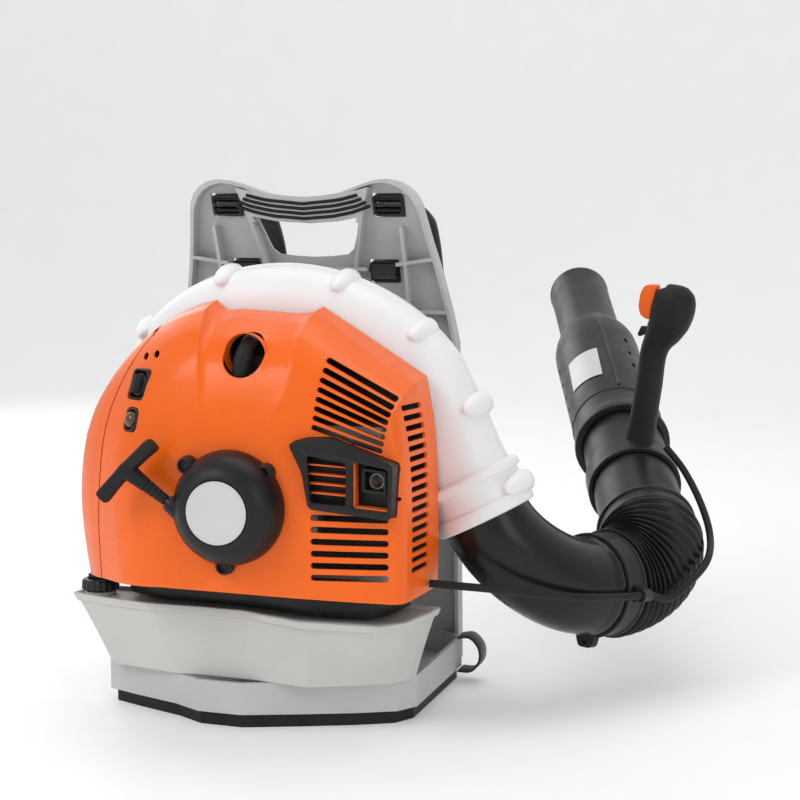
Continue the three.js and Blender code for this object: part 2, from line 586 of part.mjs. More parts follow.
function sparkPlug() {
  const at = (s) => PLUG_NOSE.clone().addScaledVector(PLUG_DIR, s);
  return shape([rod(at(6), PLUG_DIR, 30, 6, 12), rod(at(0), PLUG_DIR, 7, 10, 6), rod(at(-9), PLUG_DIR, 10, 4.5, 12)]);
}

function plugBoot() {
  const nose = PLUG_NOSE.clone().addScaledVector(PLUG_DIR, -GAP);
  const back = nose.clone().addScaledVector(PLUG_DIR, -13);
  const lead = [V(CRANK_X, -119, 331), V(CRANK_X + 1, -120, 342), V(CRANK_X + 3, -116, 355), V(CRANK_X + 4, -104, 365),
    V(CRANK_X, -84, 366), V(CRANK_X - 16, -68, 366)];
  return shape([rod(back, PLUG_DIR, 13, 9, 12), cable(lead, 6.5, 8)],
    [rod(nose.clone().addScaledVector(PLUG_DIR, -10), PLUG_DIR, 18, 4.8, 12)]);
}

function rockerCover() {
  return shape([block(CRANK_X - 32, CRANK_X + 32, -104, -52, 334 + GAP, 352), block(CRANK_X - 24, CRANK_X + 24, -98, -94, 350, 354),
    block(CRANK_X - 24, CRANK_X + 24, -90, -86, 350, 354)]);
}

function muffler() {
  const can = block(74, 148, -122, -60, 214, 292);
  return shape([can, block(76, 146, -124, -58, 250, 254), rod(V(138, -119, 240), V(0, -1, 0), 12, 8, 14)],
    [block(78, 144, -118, -64, 218, 288), rod(V(138, -110, 240), V(0, -1, 0), 30, 6, 14)]);
}

function mufflerTrim() {
  const plate = prismXZ(trimOutline(1), -152, -128);
  const behind = prismXZ(trimOutline(0.84), -147, -120);
  const vents = Array.from({ length: 4 }, (_, i) => block(92, 118, -160, -120, 228 + i * 10, 232 + i * 10));
  const outlet = block(124, 158, -160, -120, 224, 256);
  return shape([plate], [behind, ...vents, outlet]);
}

function carburettor() {
  const body = block(-94, -62, -96, -62, 272, 302);
  const throat = rod(V(-100, -79, 286), V(1, 0, 0), 42, 9, 16);
  return shape([body, rod(V(-79, -79, 300), UP, 12, 6, 12), rod(V(-79, -79, 263), UP, 12, 11, 16)], [throat]);
}

function airFilter() {
  const body = block(-140, -104, -80, -50, 214, 296);
  return shape([body, block(-104.5, -99, -78, -54, 262, 296)], [block(-136, -108, -76, -45, 218, 292)]);
}

function ignitionModule() {
  const coil = block(-48, -26, -138, -124, 254, 276);
  return shape([coil, block(-30, -20, -134, -128, 250, 260)]);
}

function throttleLever() {
  const y = -99.5;
  return shape([rod(V(-79, y, 287), BACK, 3, 8, 12), rod(V(-79, y, 287), V(-0.8, 0, 0.6), 15, 1.5, 6)]);
}

const panelPoint = (point, out) => point.clone().addScaledVector(PANEL_OUT, out);

function controlBracket() {
  const top = panelPoint(KNOB, -18);
  const low = panelPoint(BULB, -21);
  const post = low.clone().sub(top);
  return shape([rod(panelPoint(KNOB, -22), PANEL_OUT, 10, 8, 10), rod(panelPoint(BULB, -24), PANEL_OUT, 7.5, 6, 10),
    rod(top, post.clone().normalize(), post.length(), 4, 8)]);
}

function chokeKnob() {
  const body = rod(panelPoint(KNOB, -11.5), PANEL_OUT, 15, 11.5, 14);
  const blade = place(new THREE.BoxGeometry(20, 6, 8).translate(0, 0, 7), panelPoint(KNOB, 0), PANEL_OUT, UP);
  return shape([body, blade]);
}

const purgeBulb = () => dome([[-11.5, 8], [0, 8], [4, 7], [7, 4], [8, 1.5]], BULB, PANEL_OUT, 14);

function fuelLine() {
  return cable([V(-62, -70, TANK_TOP + GAP), V(-62, -70, 160), V(-70, -74, 210), V(-79, -79, 240), V(-79, -79, 262.6)], 2.6, 9);
}

// ---- air path pieces ----
const ELBOW_SIDES = 16;

function elbow() {
  const steps = 6;
  const ringAt = (t, r0, r1) => {
    const { point, along } = between(OUTLET, OUTLET_DIR, ELBOW_END, ELBOW_DIR, 125, t);
    return circle(point, along, r0 + (r1 - r0) * t, ELBOW_SIDES, BACK.clone().lerp(UP, t));
  };
  const outer = Array.from({ length: steps + 1 }, (_, i) => ringAt(i / steps, DUCT_RADIUS, ELBOW_END_RADIUS));
  const inner = Array.from({ length: steps + 1 }, (_, i) => ringAt(i / steps, DUCT_RADIUS - 3, HOSE_BORE));
  const spigotStart = OUTLET.clone().addScaledVector(OUTLET_DIR, -22);
  outer.unshift(circle(spigotStart, OUTLET_DIR, DUCT_RADIUS, ELBOW_SIDES, BACK));
  inner.unshift(circle(spigotStart, OUTLET_DIR, DUCT_RADIUS - 3, ELBOW_SIDES, BACK));
  const end = ELBOW_END.clone().addScaledVector(ELBOW_DIR, CUFF_LENGTH - 8);
  outer.push(circle(end, ELBOW_DIR, ELBOW_END_RADIUS, ELBOW_SIDES));
  inner.push(circle(end, ELBOW_DIR, HOSE_BORE, ELBOW_SIDES));
  return loft([...outer, ...inner.reverse()], true);
}

function pleatedHose() {
  const sides = 14;
  const outer = [];
  const inner = [];
  const bend = (t) => between(HOSE_START, ELBOW_DIR, HOSE_END, TUBE_DIR, 130, t);
  for (let i = 0; i <= 2 * PLEATS; i += 1) {
    const { point, along } = bend(i / (2 * PLEATS));
    outer.push(circle(point, along, i % 2 ? HOSE_RADIUS : HOSE_RADIUS - 5, sides));
    if (i % 4 === 0 || i === 2 * PLEATS) inner.push(circle(point, along, HOSE_BORE, sides));
  }
  return loft([...outer, ...inner.reverse()], true);
}

function lowerHoseClamp() {
  const start = ELBOW_END.clone().addScaledVector(ELBOW_DIR, 4);
  const band = pipe(ELBOW_END_RADIUS + 3.5, ELBOW_END_RADIUS + 1, CUFF_LENGTH - 5, start, ELBOW_DIR);
  const down = UP.clone().negate().addScaledVector(ELBOW_DIR, UP.dot(ELBOW_DIR)).normalize();
  const lug = rod(start.clone().addScaledVector(down, ELBOW_END_RADIUS + 1).addScaledVector(ELBOW_DIR, 1), ELBOW_DIR, 10, 9, 10);
  const hole = rod(start.clone().addScaledVector(down, ELBOW_END_RADIUS + 5).addScaledVector(ELBOW_DIR, -5), ELBOW_DIR, 40, 2.2, 8);
  const clear = rod(start.clone().addScaledVector(ELBOW_DIR, -10), ELBOW_DIR, 60, ELBOW_END_RADIUS + 1, 18);
  return shape([band, lug], [hole, clear]);
}

function upperHoseClamp() {
  return pipe(TUBE_RADIUS + 6, TUBE_RADIUS + GAP, 24, alongTube(GAP), TUBE_DIR);
}

function handleTube() {
  return pipe(TUBE_RADIUS, TUBE_RADIUS - 3, 232, alongTube(3), TUBE_DIR);
}

function couplingSleeve() {
  const s = SLEEVE_RADIUS;
  const bore = TUBE_RADIUS + RUNNING_FIT;
  const profile = [[bore, 212], [s - 1, 212], [s, 268], [s, 430], [s - 5, 466], [NOZZLE_RADIUS + 4, 488],
    [NOZZLE_RADIUS + GAP, 488], [NOZZLE_RADIUS + GAP, 450], [bore - 1, 430], [bore, 400]];
  return turned(profile, alongTube(0), TUBE_DIR);
}

function nozzle() {
  return pipe(NOZZLE_RADIUS, NOZZLE_RADIUS - 2.6, TUBE_LENGTH - 456, alongTube(456), TUBE_DIR);
}

// ---- control handle ----
const grip = (front, up, side = 0) => RING_CENTRE.clone().addScaledVector(GRIP_FRONT, front)
  .addScaledVector(GRIP_UP, up).addScaledVector(GRIP_SIDE, side);

function gripRing(up, middle, half, side) {
  return Array.from({ length: 12 }, (_, i) => {
    const t = (2 * Math.PI * i) / 12;
    return grip(middle + half * Math.cos(t), up, side * Math.sin(t));
  });
}

const GRIP_SECTIONS = [[46, 0, 17, 16], [70, 0, 15, 14], [110, 0, 14.5, 13.5], [150, 0, 15, 13.5], [164, -6, 19, 15], [180, -11, 22.5, 18],
  [200, -13, 24, 19], [214, -13, 21, 17], [223, -13, 13, 10]];
const TRIGGER_AT = 202;
const LEVER_AT = 170;

function controlHandle() {
  const body = loft(GRIP_SECTIONS.map(([u, m, h, s]) => gripRing(u, m, h, s)));
  const ring = pipe(TUBE_RADIUS + 4, TUBE_RADIUS + RUNNING_FIT, 30, alongTube(RING_STATION - 15), TUBE_DIR);
  const clear = rod(alongTube(0), TUBE_DIR, 230, TUBE_RADIUS + RUNNING_FIT, 18);
  const pocket = place(new THREE.BoxGeometry(34, 20, 46), grip(13, TRIGGER_AT), GRIP_UP, GRIP_FRONT);
  const slot = place(new THREE.BoxGeometry(14, 5, 18), grip(13, LEVER_AT), GRIP_UP, GRIP_FRONT);
  return shape([body, ring], [clear, pocket, slot]);
}

function throttleTrigger() {
  const outline = [[7, -19], [13, -20], [20, -17], [24, -8], [24, 8], [20, 17], [7, 19]];
  const geometry = extruded(outline, 18).translate(0, 0, -9);
  const basis = new THREE.Matrix4().makeBasis(GRIP_FRONT, GRIP_UP, GRIP_SIDE).setPosition(grip(0, TRIGGER_AT));
  return geometry.applyMatrix4(basis);
}

function settingLever() {
  const basis = new THREE.Matrix4().makeBasis(GRIP_FRONT, GRIP_UP, GRIP_SIDE).setPosition(grip(0, LEVER_AT));
  return extruded([[11.5, -4], [19, -9], [22, -7], [19, 3], [11.5, 4]], 4).translate(0, 0, -2).applyMatrix4(basis);
}

// ---- throttle cable ----
const CLIP_OUT = V(0.875, -0.484, -0.02).normalize();
const CLIP_AT = ELBOW_END.clone().addScaledVector(ELBOW_DIR, 19).addScaledVector(CLIP_OUT, ELBOW_END_RADIUS + 12);

const LOWER_ROUTE = [V(178.6, -70, 140), V(192, -68, 139), V(222, -58, 136), V(262, -38, 130), V(302, -8, 122), V(338, 36, 115),
  CLIP_AT.clone().addScaledVector(ELBOW_DIR, -12), CLIP_AT.clone().addScaledVector(ELBOW_DIR, 8)];

function upperRoute() {
  const points = [CLIP_AT.clone().addScaledVector(ELBOW_DIR, 9)];
  for (const [t, angle] of [[0.2, -8], [0.45, -4], [0.7, 2], [1, 8]]) {
    const { point, along } = between(HOSE_START, ELBOW_DIR, HOSE_END, TUBE_DIR, 130, t);
    const right = along.clone().cross(UP).normalize();
    const up = right.clone().cross(along);
    const a = THREE.MathUtils.degToRad(angle);
    points.push(point.addScaledVector(right, (HOSE_RADIUS + 8) * Math.cos(a)).addScaledVector(up, (HOSE_RADIUS + 8) * Math.sin(a)));
  }
  const right = TUBE_DIR.clone().cross(UP).normalize();
  const up = right.clone().cross(TUBE_DIR);
  for (const [s, angle, r] of [[50, 22, 62], [84, 42, 60], [98, 64, 64]]) {
    const a = THREE.MathUtils.degToRad(angle);
    points.push(alongTube(s).addScaledVector(right, r * Math.cos(a)).addScaledVector(up, r * Math.sin(a)));
  }
  return points;
}

function cableClip() {
  const foot = ELBOW_END.clone().addScaledVector(ELBOW_DIR, 13).addScaledVector(CLIP_OUT, ELBOW_END_RADIUS + 4 + GAP);
  const hook = pipe(CABLE_RADIUS + 3, CABLE_RADIUS + 1, 12, CLIP_AT.clone().addScaledVector(ELBOW_DIR, -6), ELBOW_DIR, 10);
  const pad = place(new THREE.BoxGeometry(3, 16, 12).translate(1.4, 0, 6), foot, ELBOW_DIR, CLIP_OUT);
  return shape([hook, pad], [rod(CLIP_AT.clone().addScaledVector(ELBOW_DIR, -20), ELBOW_DIR, 40, CABLE_RADIUS + 1, 10)]);
}

// ---- harness ----
function padBlock(x0, x1, z0, z1, y0, y1) {
  return block(x0, x1, y0, y1, z0, z1);
}

function shoulderStrap(s) {
  const path = [[86, 492], [112, 494], [144, 488], [178, 455], [198, 400], [203, 340], [194, 280], [178, 228], [160, 196]];
  const rings = path.map(([y, z], i) => {
    const before = path[Math.max(0, i - 1)];
    const after = path[Math.min(path.length - 1, i + 1)];
    const along = new THREE.Vector2(after[0] - before[0], after[1] - before[1]).normalize();
    const [nx, nz] = [-along.y, along.x];
    const webbing = i < 2 || i > 6;
    const half = webbing ? 14 : 30;
    const thick = webbing ? 2 : 6;
    const x = s * 88;
    return [[-half, -thick], [half, -thick], [half, thick], [-half, thick]].map(([w, t]) => V(x + w, y + nx * t, z + nz * t));
  });
  return loft(rings);
}

function webbingLoop(s) {
  const path = [[160, 47], [172, 48], [182, 38], [183, 24], [174, 13], [160, 12]];
  const rings = path.map(([x, z], i) => {
    const before = path[Math.max(0, i - 1)];
    const after = path[Math.min(path.length - 1, i + 1)];
    const along = new THREE.Vector2(after[0] - before[0], after[1] - before[1]).normalize();
    return [[-12, -1.2], [12, -1.2], [12, 1.2], [-12, 1.2]].map(([w, t]) => V(s * (x - along.y * t), 112 + w, z + along.x * t));
  });
  return loft(rings);
}

// ---- assembly ----
add('sole', sole(), SOFT_BLACK, 0.8);
add('back_frame', backFrame(), GREY, 0.55);
add('fuel_tank', fuelTank(), TANK_GREY, 0.45);
add('fuel_cap', fuelCap(), BLACK, 0.6);
const skin = shroudSkin();
add('engine_shroud', engineShroud(skin), ORANGE, 0.35);
add('filter_cover', filterCover(skin), ORANGE, 0.35);
add('starter_cover', starterCover(), BLACK, 0.5);
add('starter_badge', rod(V(CRANK_X, STARTER_BACK_Y - STARTER_DEPTH - 2 * GAP, CRANK_Z), V(0, -1, 0), 1.6, 29, 18), ALUMINIUM, 0.35, 0.4);
add('starter_pulley', starterPulley(), BLACK, 0.6);
add('starter_grip', starterGrip(), BLACK, 0.6);
add('starter_rope', freeRope(), 0xcfcfc8, 0.9);
add('rope_wound', woundRope(), 0xcfcfc8, 0.9);
add('rewind_spring', rewindSpring(), STEEL, 0.3, 0.8);
const [housingFront, housingRear] = fanHousing();
add('fan_housing_front', housingFront, WHITE, 0.45);
add('fan_housing_rear', housingRear, WHITE, 0.45);
add('intake_grille', intakeGrille(), BLACK, 0.6);
MOUNTS.forEach((mount, i) => add(`rubber_mount_${i + 1}`, rubberMount(mount), SOFT_BLACK, 0.8));
add('fan_wheel', fanWheel(), 0x55585a, 0.6);
add('crankshaft', crankshaft(), STEEL, 0.3, 0.8);
add('flywheel', flywheel(), ALUMINIUM, 0.45, 0.7);
add('fan_nut', fanNut(), STEEL, 0.3, 0.8);
add('crankcase', crankcase(), ALUMINIUM, 0.5, 0.7);
add('cylinder', cylinder(), ALUMINIUM, 0.5, 0.7);
add('piston', piston(), ALUMINIUM, 0.3, 0.8);
add('rocker_cover', rockerCover(), BLACK, 0.6);
add('spark_plug', sparkPlug(), STEEL, 0.3, 0.6);
add('plug_boot', plugBoot(), SOFT_BLACK, 0.7);
add('muffler', muffler(), 0x6f6a66, 0.5, 0.6);
add('muffler_trim', mufflerTrim(), BLACK, 0.5);
add('carburettor', carburettor(), ALUMINIUM, 0.5, 0.6);
add('throttle_lever', throttleLever(), STEEL, 0.3, 0.8);
add('control_bracket', controlBracket(), BLACK, 0.6);
add('choke_knob', chokeKnob(), BLACK, 0.5);
add('purge_bulb', purgeBulb(), AMBER, 0.2);
add('ignition_module', ignitionModule(), BLACK, 0.5);
add('fuel_line', fuelLine(), SOFT_BLACK, 0.4);
add('air_filter', airFilter(), 0xd8d2c2, 0.9);
add('elbow', elbow(), BLACK, 0.5);
add('pleated_hose', pleatedHose(), SOFT_BLACK, 0.4);
add('hose_clamp_lower', lowerHoseClamp(), BLACK, 0.4);
add('hose_clamp_upper', upperHoseClamp(), BLACK, 0.5);
add('handle_tube', handleTube(), BLACK, 0.5);
add('coupling_sleeve', couplingSleeve(), BLACK, 0.5);
add('nozzle', nozzle(), BLACK, 0.5);
add('control_handle', controlHandle(), BLACK, 0.6);
add('throttle_trigger', throttleTrigger(), ORANGE, 0.4);
add('setting_lever', settingLever(), BLACK, 0.5);
add('throttle_cable', cable(LOWER_ROUTE, CABLE_RADIUS, 14), SOFT_BLACK, 0.4);
add('throttle_cable_upper', cable(upperRoute(), CABLE_RADIUS, 14), SOFT_BLACK, 0.4);
add('cable_clip', cableClip(), BLACK, 0.4);
add('back_pad', padBlock(-96, 96, 216, 400, 145, 168), SOFT_BLACK, 0.9);
add('hip_pad', padBlock(-105, 105, 70, 170, 151, 174), SOFT_BLACK, 0.9);
add('shoulder_strap_left', shoulderStrap(-1), SOFT_BLACK, 0.9);
add('shoulder_strap_right', shoulderStrap(1), SOFT_BLACK, 0.9);

for (const [side, s] of [['left', -1], ['right', 1]]) add(`webbing_loop_${side}`, webbingLoop(s), SOFT_BLACK, 0.9);

export default blower;
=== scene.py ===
import json
import math
import bmesh
import bpy
import numpy as np
from mathutils import Matrix, Vector


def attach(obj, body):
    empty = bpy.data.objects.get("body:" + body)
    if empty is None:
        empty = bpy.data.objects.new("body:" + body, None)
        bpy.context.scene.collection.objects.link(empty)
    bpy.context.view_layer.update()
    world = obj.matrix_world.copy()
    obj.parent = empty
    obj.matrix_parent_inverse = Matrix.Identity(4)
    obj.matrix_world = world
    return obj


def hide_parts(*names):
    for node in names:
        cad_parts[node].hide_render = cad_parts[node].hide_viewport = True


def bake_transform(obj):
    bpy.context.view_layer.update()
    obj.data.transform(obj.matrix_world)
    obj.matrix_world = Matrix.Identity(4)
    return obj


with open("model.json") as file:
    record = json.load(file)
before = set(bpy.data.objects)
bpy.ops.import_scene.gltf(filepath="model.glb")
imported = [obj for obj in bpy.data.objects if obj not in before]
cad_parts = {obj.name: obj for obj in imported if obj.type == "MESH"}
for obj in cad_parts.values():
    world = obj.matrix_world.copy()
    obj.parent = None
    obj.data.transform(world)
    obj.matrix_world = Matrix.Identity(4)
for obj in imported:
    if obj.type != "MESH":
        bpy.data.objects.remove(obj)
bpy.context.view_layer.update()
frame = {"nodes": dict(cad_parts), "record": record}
MM = 0.001


def V(*xyz):
    return Vector(xyz)


def unit(*xyz):
    return Vector(xyz).normalized()


def turn(count):
    """Evenly spaced angles once round."""
    return np.linspace(0, 2 * math.pi, count, endpoint=False)


def signed_power(value, exponent):
    return math.copysign(abs(value) ** exponent, value)


def corners(half_x, half_y):
    return [(-half_x, -half_y), (half_x, -half_y), (half_x, half_y), (-half_x, half_y)]


# ---- driving dimensions in millimetres, as in the CAD ----
CRANK = V(10, 0, 216)
UP, BACK, FRONT, RIGHT = V(0, 0, 1), V(0, 1, 0), V(0, -1, 0), V(1, 0, 0)
OUTLET, OUTLET_DIR = V(215.5, 5, 191), unit(0.45, 0, -0.893)
ELBOW_END, ELBOW_DIR = V(297.5, 77, 115), unit(0.455, 0.885, -0.09)
HOSE_START, HOSE_END = ELBOW_END + 34 * ELBOW_DIR, V(342, 196, 143)
TUBE_DIR = unit(-0.3, 0.886, 0.352)
GRIP_UP = unit(0.149, -0.024, 0.988)
GRIP_FRONT = Matrix.Rotation(math.radians(60), 3,
    GRIP_UP) @ (TUBE_DIR - GRIP_UP * TUBE_DIR.dot(GRIP_UP)).normalized()
GRIP_SIDE = GRIP_FRONT.cross(GRIP_UP)
ROPE_DIR = unit(-0.83, 0, 0.558)
ROPE_START = V(10, -164, 216) + 26 * V(-ROPE_DIR.z, 0, ROPE_DIR.x)
PANEL_OUT = unit(-0.55, -0.79, 0.27)
KNOB, BULB = V(-94.5, -116.5, 324), V(-98, -127.5, 291.5)
STARTER_LUGS = ((-31, 254), (46, 250), (6, 162))
STARTER_BACK = -145.3
BADGE_DEPTH = 34.6
PLUG_WINDOW, PLUG_WINDOW_RADIUS = V(14, -117, 354), 20
FUEL_CAP = V(-161, -69, 113.3)
HOSE_MIDDLE = V(339.769, 151.545, 120.282)
HOSE_PULL, ELBOW_PULL = 130, 125
PLEATS = 13
RING_STATION, TRIGGER_AT, LEVER_AT = 122, 202, 170
CABLE_RADIUS = 3.8


def along_tube(s):
    return HOSE_END + TUBE_DIR * float(s)


# ---- materials ----
def material(name, color, roughness, bump=0.15, grain=900, metallic=0.0, vary=0.06, coat=0.0, wear=0.0,
    edge=0.0, blotch=14, shine=0.5):
    """Moulded or cast finish: fine grain, slow colour variation, worn edges and uneven gloss."""
    m = bpy.data.materials.new(name)
    m.use_nodes = True
    nodes, links = m.node_tree.nodes, m.node_tree.links
    shader = nodes["Principled BSDF"]
    shader.inputs["Metallic"].default_value = metallic
    shader.inputs["Coat Weight"].default_value = coat
    shader.inputs["Specular IOR Level"].default_value = shine
    shader.inputs["Coat Roughness"].default_value = 0.12
    where = nodes.new("ShaderNodeTexCoord")

    def noise(scale, detail=3.0):
        n = nodes.new("ShaderNodeTexNoise")
        n.inputs["Scale"].default_value = scale
        n.inputs["Detail"].default_value = detail
        links.new(where.outputs["Object"], n.inputs["Vector"])
        return n.outputs["Fac"]

    def ramp(value, low, high, a, b):
        r = nodes.new("ShaderNodeMapRange")
        r.inputs["From Min"].default_value, r.inputs["From Max"].default_value = low, high
        r.inputs["To Min"].default_value, r.inputs["To Max"].default_value = a, b
        links.new(value, r.inputs["Value"])
        return r.outputs["Result"]

    def mix(factor, a, b):
        x = nodes.new("ShaderNodeMix")
        x.data_type = "RGBA"
        links.new(factor, x.inputs["Factor"])
        for socket, v in ((x.inputs["A"], a), (x.inputs["B"], b)):
            if isinstance(v, tuple):
                socket.default_value = (*v, 1)
            else:
                links.new(v, socket)
        return x.outputs["Result"]

    dark = tuple(c * (1 - vary) for c in color)
    light = tuple(min(1, c * (1 + vary)) for c in color)
    paint = mix(ramp(noise(blotch), 0.35, 0.65, 0, 1), dark, light)
    if wear:
        g = nodes.new("ShaderNodeNewGeometry")
        worn = ramp(g.outputs["Pointiness"], 0.52, 0.6, 0, wear)
        paint = mix(worn, paint, tuple(min(1, c * 1.5 + 0.04) for c in color))
    links.new(paint, shader.inputs["Base Color"])
    links.new(ramp(noise(40, 5), 0.3, 0.7, max(0.02, roughness - 0.06), roughness + 0.08),
        shader.inputs["Roughness"])
    b = nodes.new("ShaderNodeBump")
    b.inputs["Strength"].default_value = bump
    b.inputs["Distance"].default_value = 0.0004
    links.new(noise(grain, 2), b.inputs["Height"])
    if edge:
        bevel = nodes.new("ShaderNodeBevel")
        bevel.samples = 3
        bevel.inputs["Radius"].default_value = edge * MM
        links.new(bevel.outputs["Normal"], b.inputs["Normal"])
    links.new(b.outputs["Normal"], shader.inputs["Normal"])
    return m


def woven(name, color, pitch=900, sheen=0.4):
    """Woven webbing or mesh cloth: two crossed sets of threads."""
    m = material(name, color, 0.85, bump=0.3, vary=0.15)
    nodes, links = m.node_tree.nodes, m.node_tree.links
    shader = nodes["Principled BSDF"]
    shader.inputs["Sheen Weight"].default_value = sheen
    where = nodes["Texture Coordinate"]
    height = None
    for direction in ("X", "Z"):
        w = nodes.new("ShaderNodeTexWave")
        w.bands_direction = direction
        w.inputs["Scale"].default_value = pitch
        links.new(where.outputs["Object"], w.inputs["Vector"])
        if height is None:
            height = w.outputs["Fac"]
        else:
            both = nodes.new("ShaderNodeMath")
            both.operation = "MULTIPLY"
            links.new(height, both.inputs[0])
            links.new(w.outputs["Fac"], both.inputs[1])
            height = both.outputs[0]
    bump = nodes["Bump"]
    bump.inputs["Distance"].default_value = 0.0006
    links.new(height, bump.inputs["Height"])
    return m


ORANGE = material("orange_plastic", (0.93, 0.138, 0.004), 0.3, bump=0.05, coat=0.08, wear=0.2, edge=0.8,
    vary=0.03, shine=0.3)
CONTROL_ORANGE = material("orange_control", (0.9, 0.13, 0.006), 0.35, bump=0.1, edge=0.8, shine=0.35)
WHITE = material("white_plastic", (0.87, 0.87, 0.865), 0.42, bump=0.12, grain=700, vary=0.02, edge=0.8)
GREY = material("grey_plastic", (0.46, 0.465, 0.46), 0.5, bump=0.25, grain=1100, vary=0.05, wear=0.3,
    edge=0.9)
TANK_GREY = material("tank_plastic", (0.57, 0.57, 0.54), 0.45, bump=0.2, grain=800, vary=0.04, edge=1.2)
BLACK = material("black_plastic", (0.0095, 0.0098, 0.0095), 0.38, bump=0.3, grain=1000, vary=0.2, wear=0.35,
    edge=0.7, shine=0.3)
GLOSSY_BLACK = material("black_gloss", (0.008, 0.008, 0.008), 0.25, bump=0.15, grain=600, vary=0.2, coat=0.05,
    shine=0.3)
HOSE_RUBBER = material("hose_rubber", (0.0075, 0.0075, 0.008), 0.3, bump=0.15, grain=500, vary=0.2,
    shine=0.28)
SOFT_RUBBER = material("soft_rubber", (0.009, 0.009, 0.009), 0.55, bump=0.3, grain=900, vary=0.25, shine=0.3)
CAST = material("cast_aluminium", (0.50, 0.50, 0.49), 0.45, bump=0.5, grain=600, metallic=1.0, vary=0.12,
    edge=0.8)
STEEL = material("steel", (0.46, 0.46, 0.47), 0.25, bump=0.2, grain=1500, metallic=1.0, vary=0.1)
MUFFLER_STEEL = material("heat_steel", (0.27, 0.24, 0.21), 0.45, bump=0.4, grain=700, metallic=1.0, vary=0.3,
    blotch=40, edge=0.8)
SILVER = material("badge_silver", (0.63, 0.63, 0.63), 0.38, bump=0.1, grain=1400, metallic=0.15, vary=0.03)
AMBER = material("amber_rubber", (0.10, 0.045, 0.012), 0.15, bump=0.05, grain=400, coat=0.4)
ROPE = woven("rope_cord", (0.55, 0.54, 0.50), pitch=1500)
FELT = woven("filter_felt", (0.62, 0.58, 0.48), pitch=500)
WEBBING = woven("webbing", (0.016, 0.016, 0.017), pitch=700)
MESH_CLOTH = woven("mesh_cloth", (0.022, 0.022, 0.024), pitch=350, sheen=0.25)

SLOT_MATERIAL = {
    "orange_cover": ORANGE, "white_housing": WHITE, "grey_frame": GREY, "grey_tank": TANK_GREY,
    "black_plastic": BLACK,
    "hose_rubber": HOSE_RUBBER, "soft_rubber": SOFT_RUBBER, "orange_control": CONTROL_ORANGE,
    "aluminium_cast": CAST,
    "steel": STEEL, "muffler_steel": MUFFLER_STEEL, "badge_silver": SILVER, "amber_bulb": AMBER,
    "rope_cord": ROPE,
    "filter_felt": FELT, "webbing": WEBBING,
}


# ---- mesh helpers ----
def mesh_of(name, points, faces):
    mesh = bpy.data.meshes.new(name)
    mesh.from_pydata([tuple(MM * c for c in p) for p in points], [], faces)
    bm = bmesh.new()
    bm.from_mesh(mesh)
    bmesh.ops.remove_doubles(bm, verts=bm.verts, dist=1e-6)
    bmesh.ops.recalc_face_normals(bm, faces=bm.faces)
    bm.to_mesh(mesh)
    bm.free()
    obj = bpy.data.objects.new(name, mesh)
    bpy.context.collection.objects.link(obj)
    return obj


def baked(obj):
    """Applies every modifier on the object to its mesh."""
    bpy.context.view_layer.update()
    graph = bpy.context.evaluated_depsgraph_get()
    mesh = bpy.data.meshes.new_from_object(obj.evaluated_get(graph))
    obj.modifiers.clear()
    obj.data = mesh
    return obj


def cut(obj, cutters, how="DIFFERENCE"):
    tool = merged(cutters)
    m = obj.modifiers.new("cut", "BOOLEAN")
    m.operation, m.solver, m.object = how, "EXACT", tool
    m.use_self = True
    baked(obj)
    bpy.data.objects.remove(tool)
    return obj


def merged(objects):
    if len(objects) == 1:
        return objects[0]
    bm = bmesh.new()
    for o in objects:
        o.data.transform(o.matrix_world)
        bm.from_mesh(o.data)
    mesh = bpy.data.meshes.new(objects[0].name)
    bm.to_mesh(mesh)
    bm.free()
    for o in objects[1:]:
        bpy.data.objects.remove(o)
    objects[0].matrix_world = Matrix.Identity(4)
    objects[0].data = mesh
    return objects[0]


def shade(obj, angle=35):
    for p in obj.data.polygons:
        p.use_smooth = True
    obj.data.set_sharp_from_angle(angle=math.radians(angle))
    return obj


def soften(obj, width=1.0, segments=2, angle=35):
    m = obj.modifiers.new("soften", "BEVEL")
    m.width, m.segments, m.limit_method = width * MM, segments, "ANGLE"
    m.angle_limit = math.radians(angle)
    m.use_clamp_overlap = True
    return baked(obj)


def put(obj, body, mat, slot, replaces=(), angle=35):
    shade(obj, angle)
    obj.data.materials.clear()
    obj.data.materials.append(mat)
    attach(obj, body)
    if replaces:
        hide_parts(*replaces)
    return obj


def loft(name, rings, looped=False, closed=True):
    """A skin over rings of equal size; open ends are capped, a looped one closes on itself."""
    n = len(rings[0])
    points = [p for ring in rings for p in ring]
    faces = []
    bands = len(rings) if looped else len(rings) - 1
    for r in range(bands):
        a, b = r * n, ((r + 1) % len(rings)) * n
        for i in range(n if closed else n - 1):
            j = (i + 1) % n
            faces.append((a + i, a + j, b + j, b + i))
    if not looped and closed:
        faces.append(tuple(range(n - 1, -1, -1)))
        faces.append(tuple((len(rings) - 1) * n + i for i in range(n)))
    return mesh_of(name, points, faces)


def axes_for(direction, hint=UP):
    z = direction.normalized()
    if abs(z.dot(hint)) > 0.97:
        hint = BACK
    x = z.cross(hint).normalized()
    return x, z.cross(x).normalized(), z


def circle(centre, direction, radius, sides, hint=UP):
    x, y, _ = axes_for(direction, hint)
    return [centre + x * (radius * math.cos(t)) + y * (radius * math.sin(t)) for t in turn(sides)]


def turned(name, profile, origin, direction, sides=64, hint=UP):
    """A turned solid; the profile holds (radius, distance) and closes on itself."""
    rings = [circle(origin + direction * s, direction, max(r, 0.01), sides, hint) for r, s in profile]
    return loft(name, rings, looped=True)


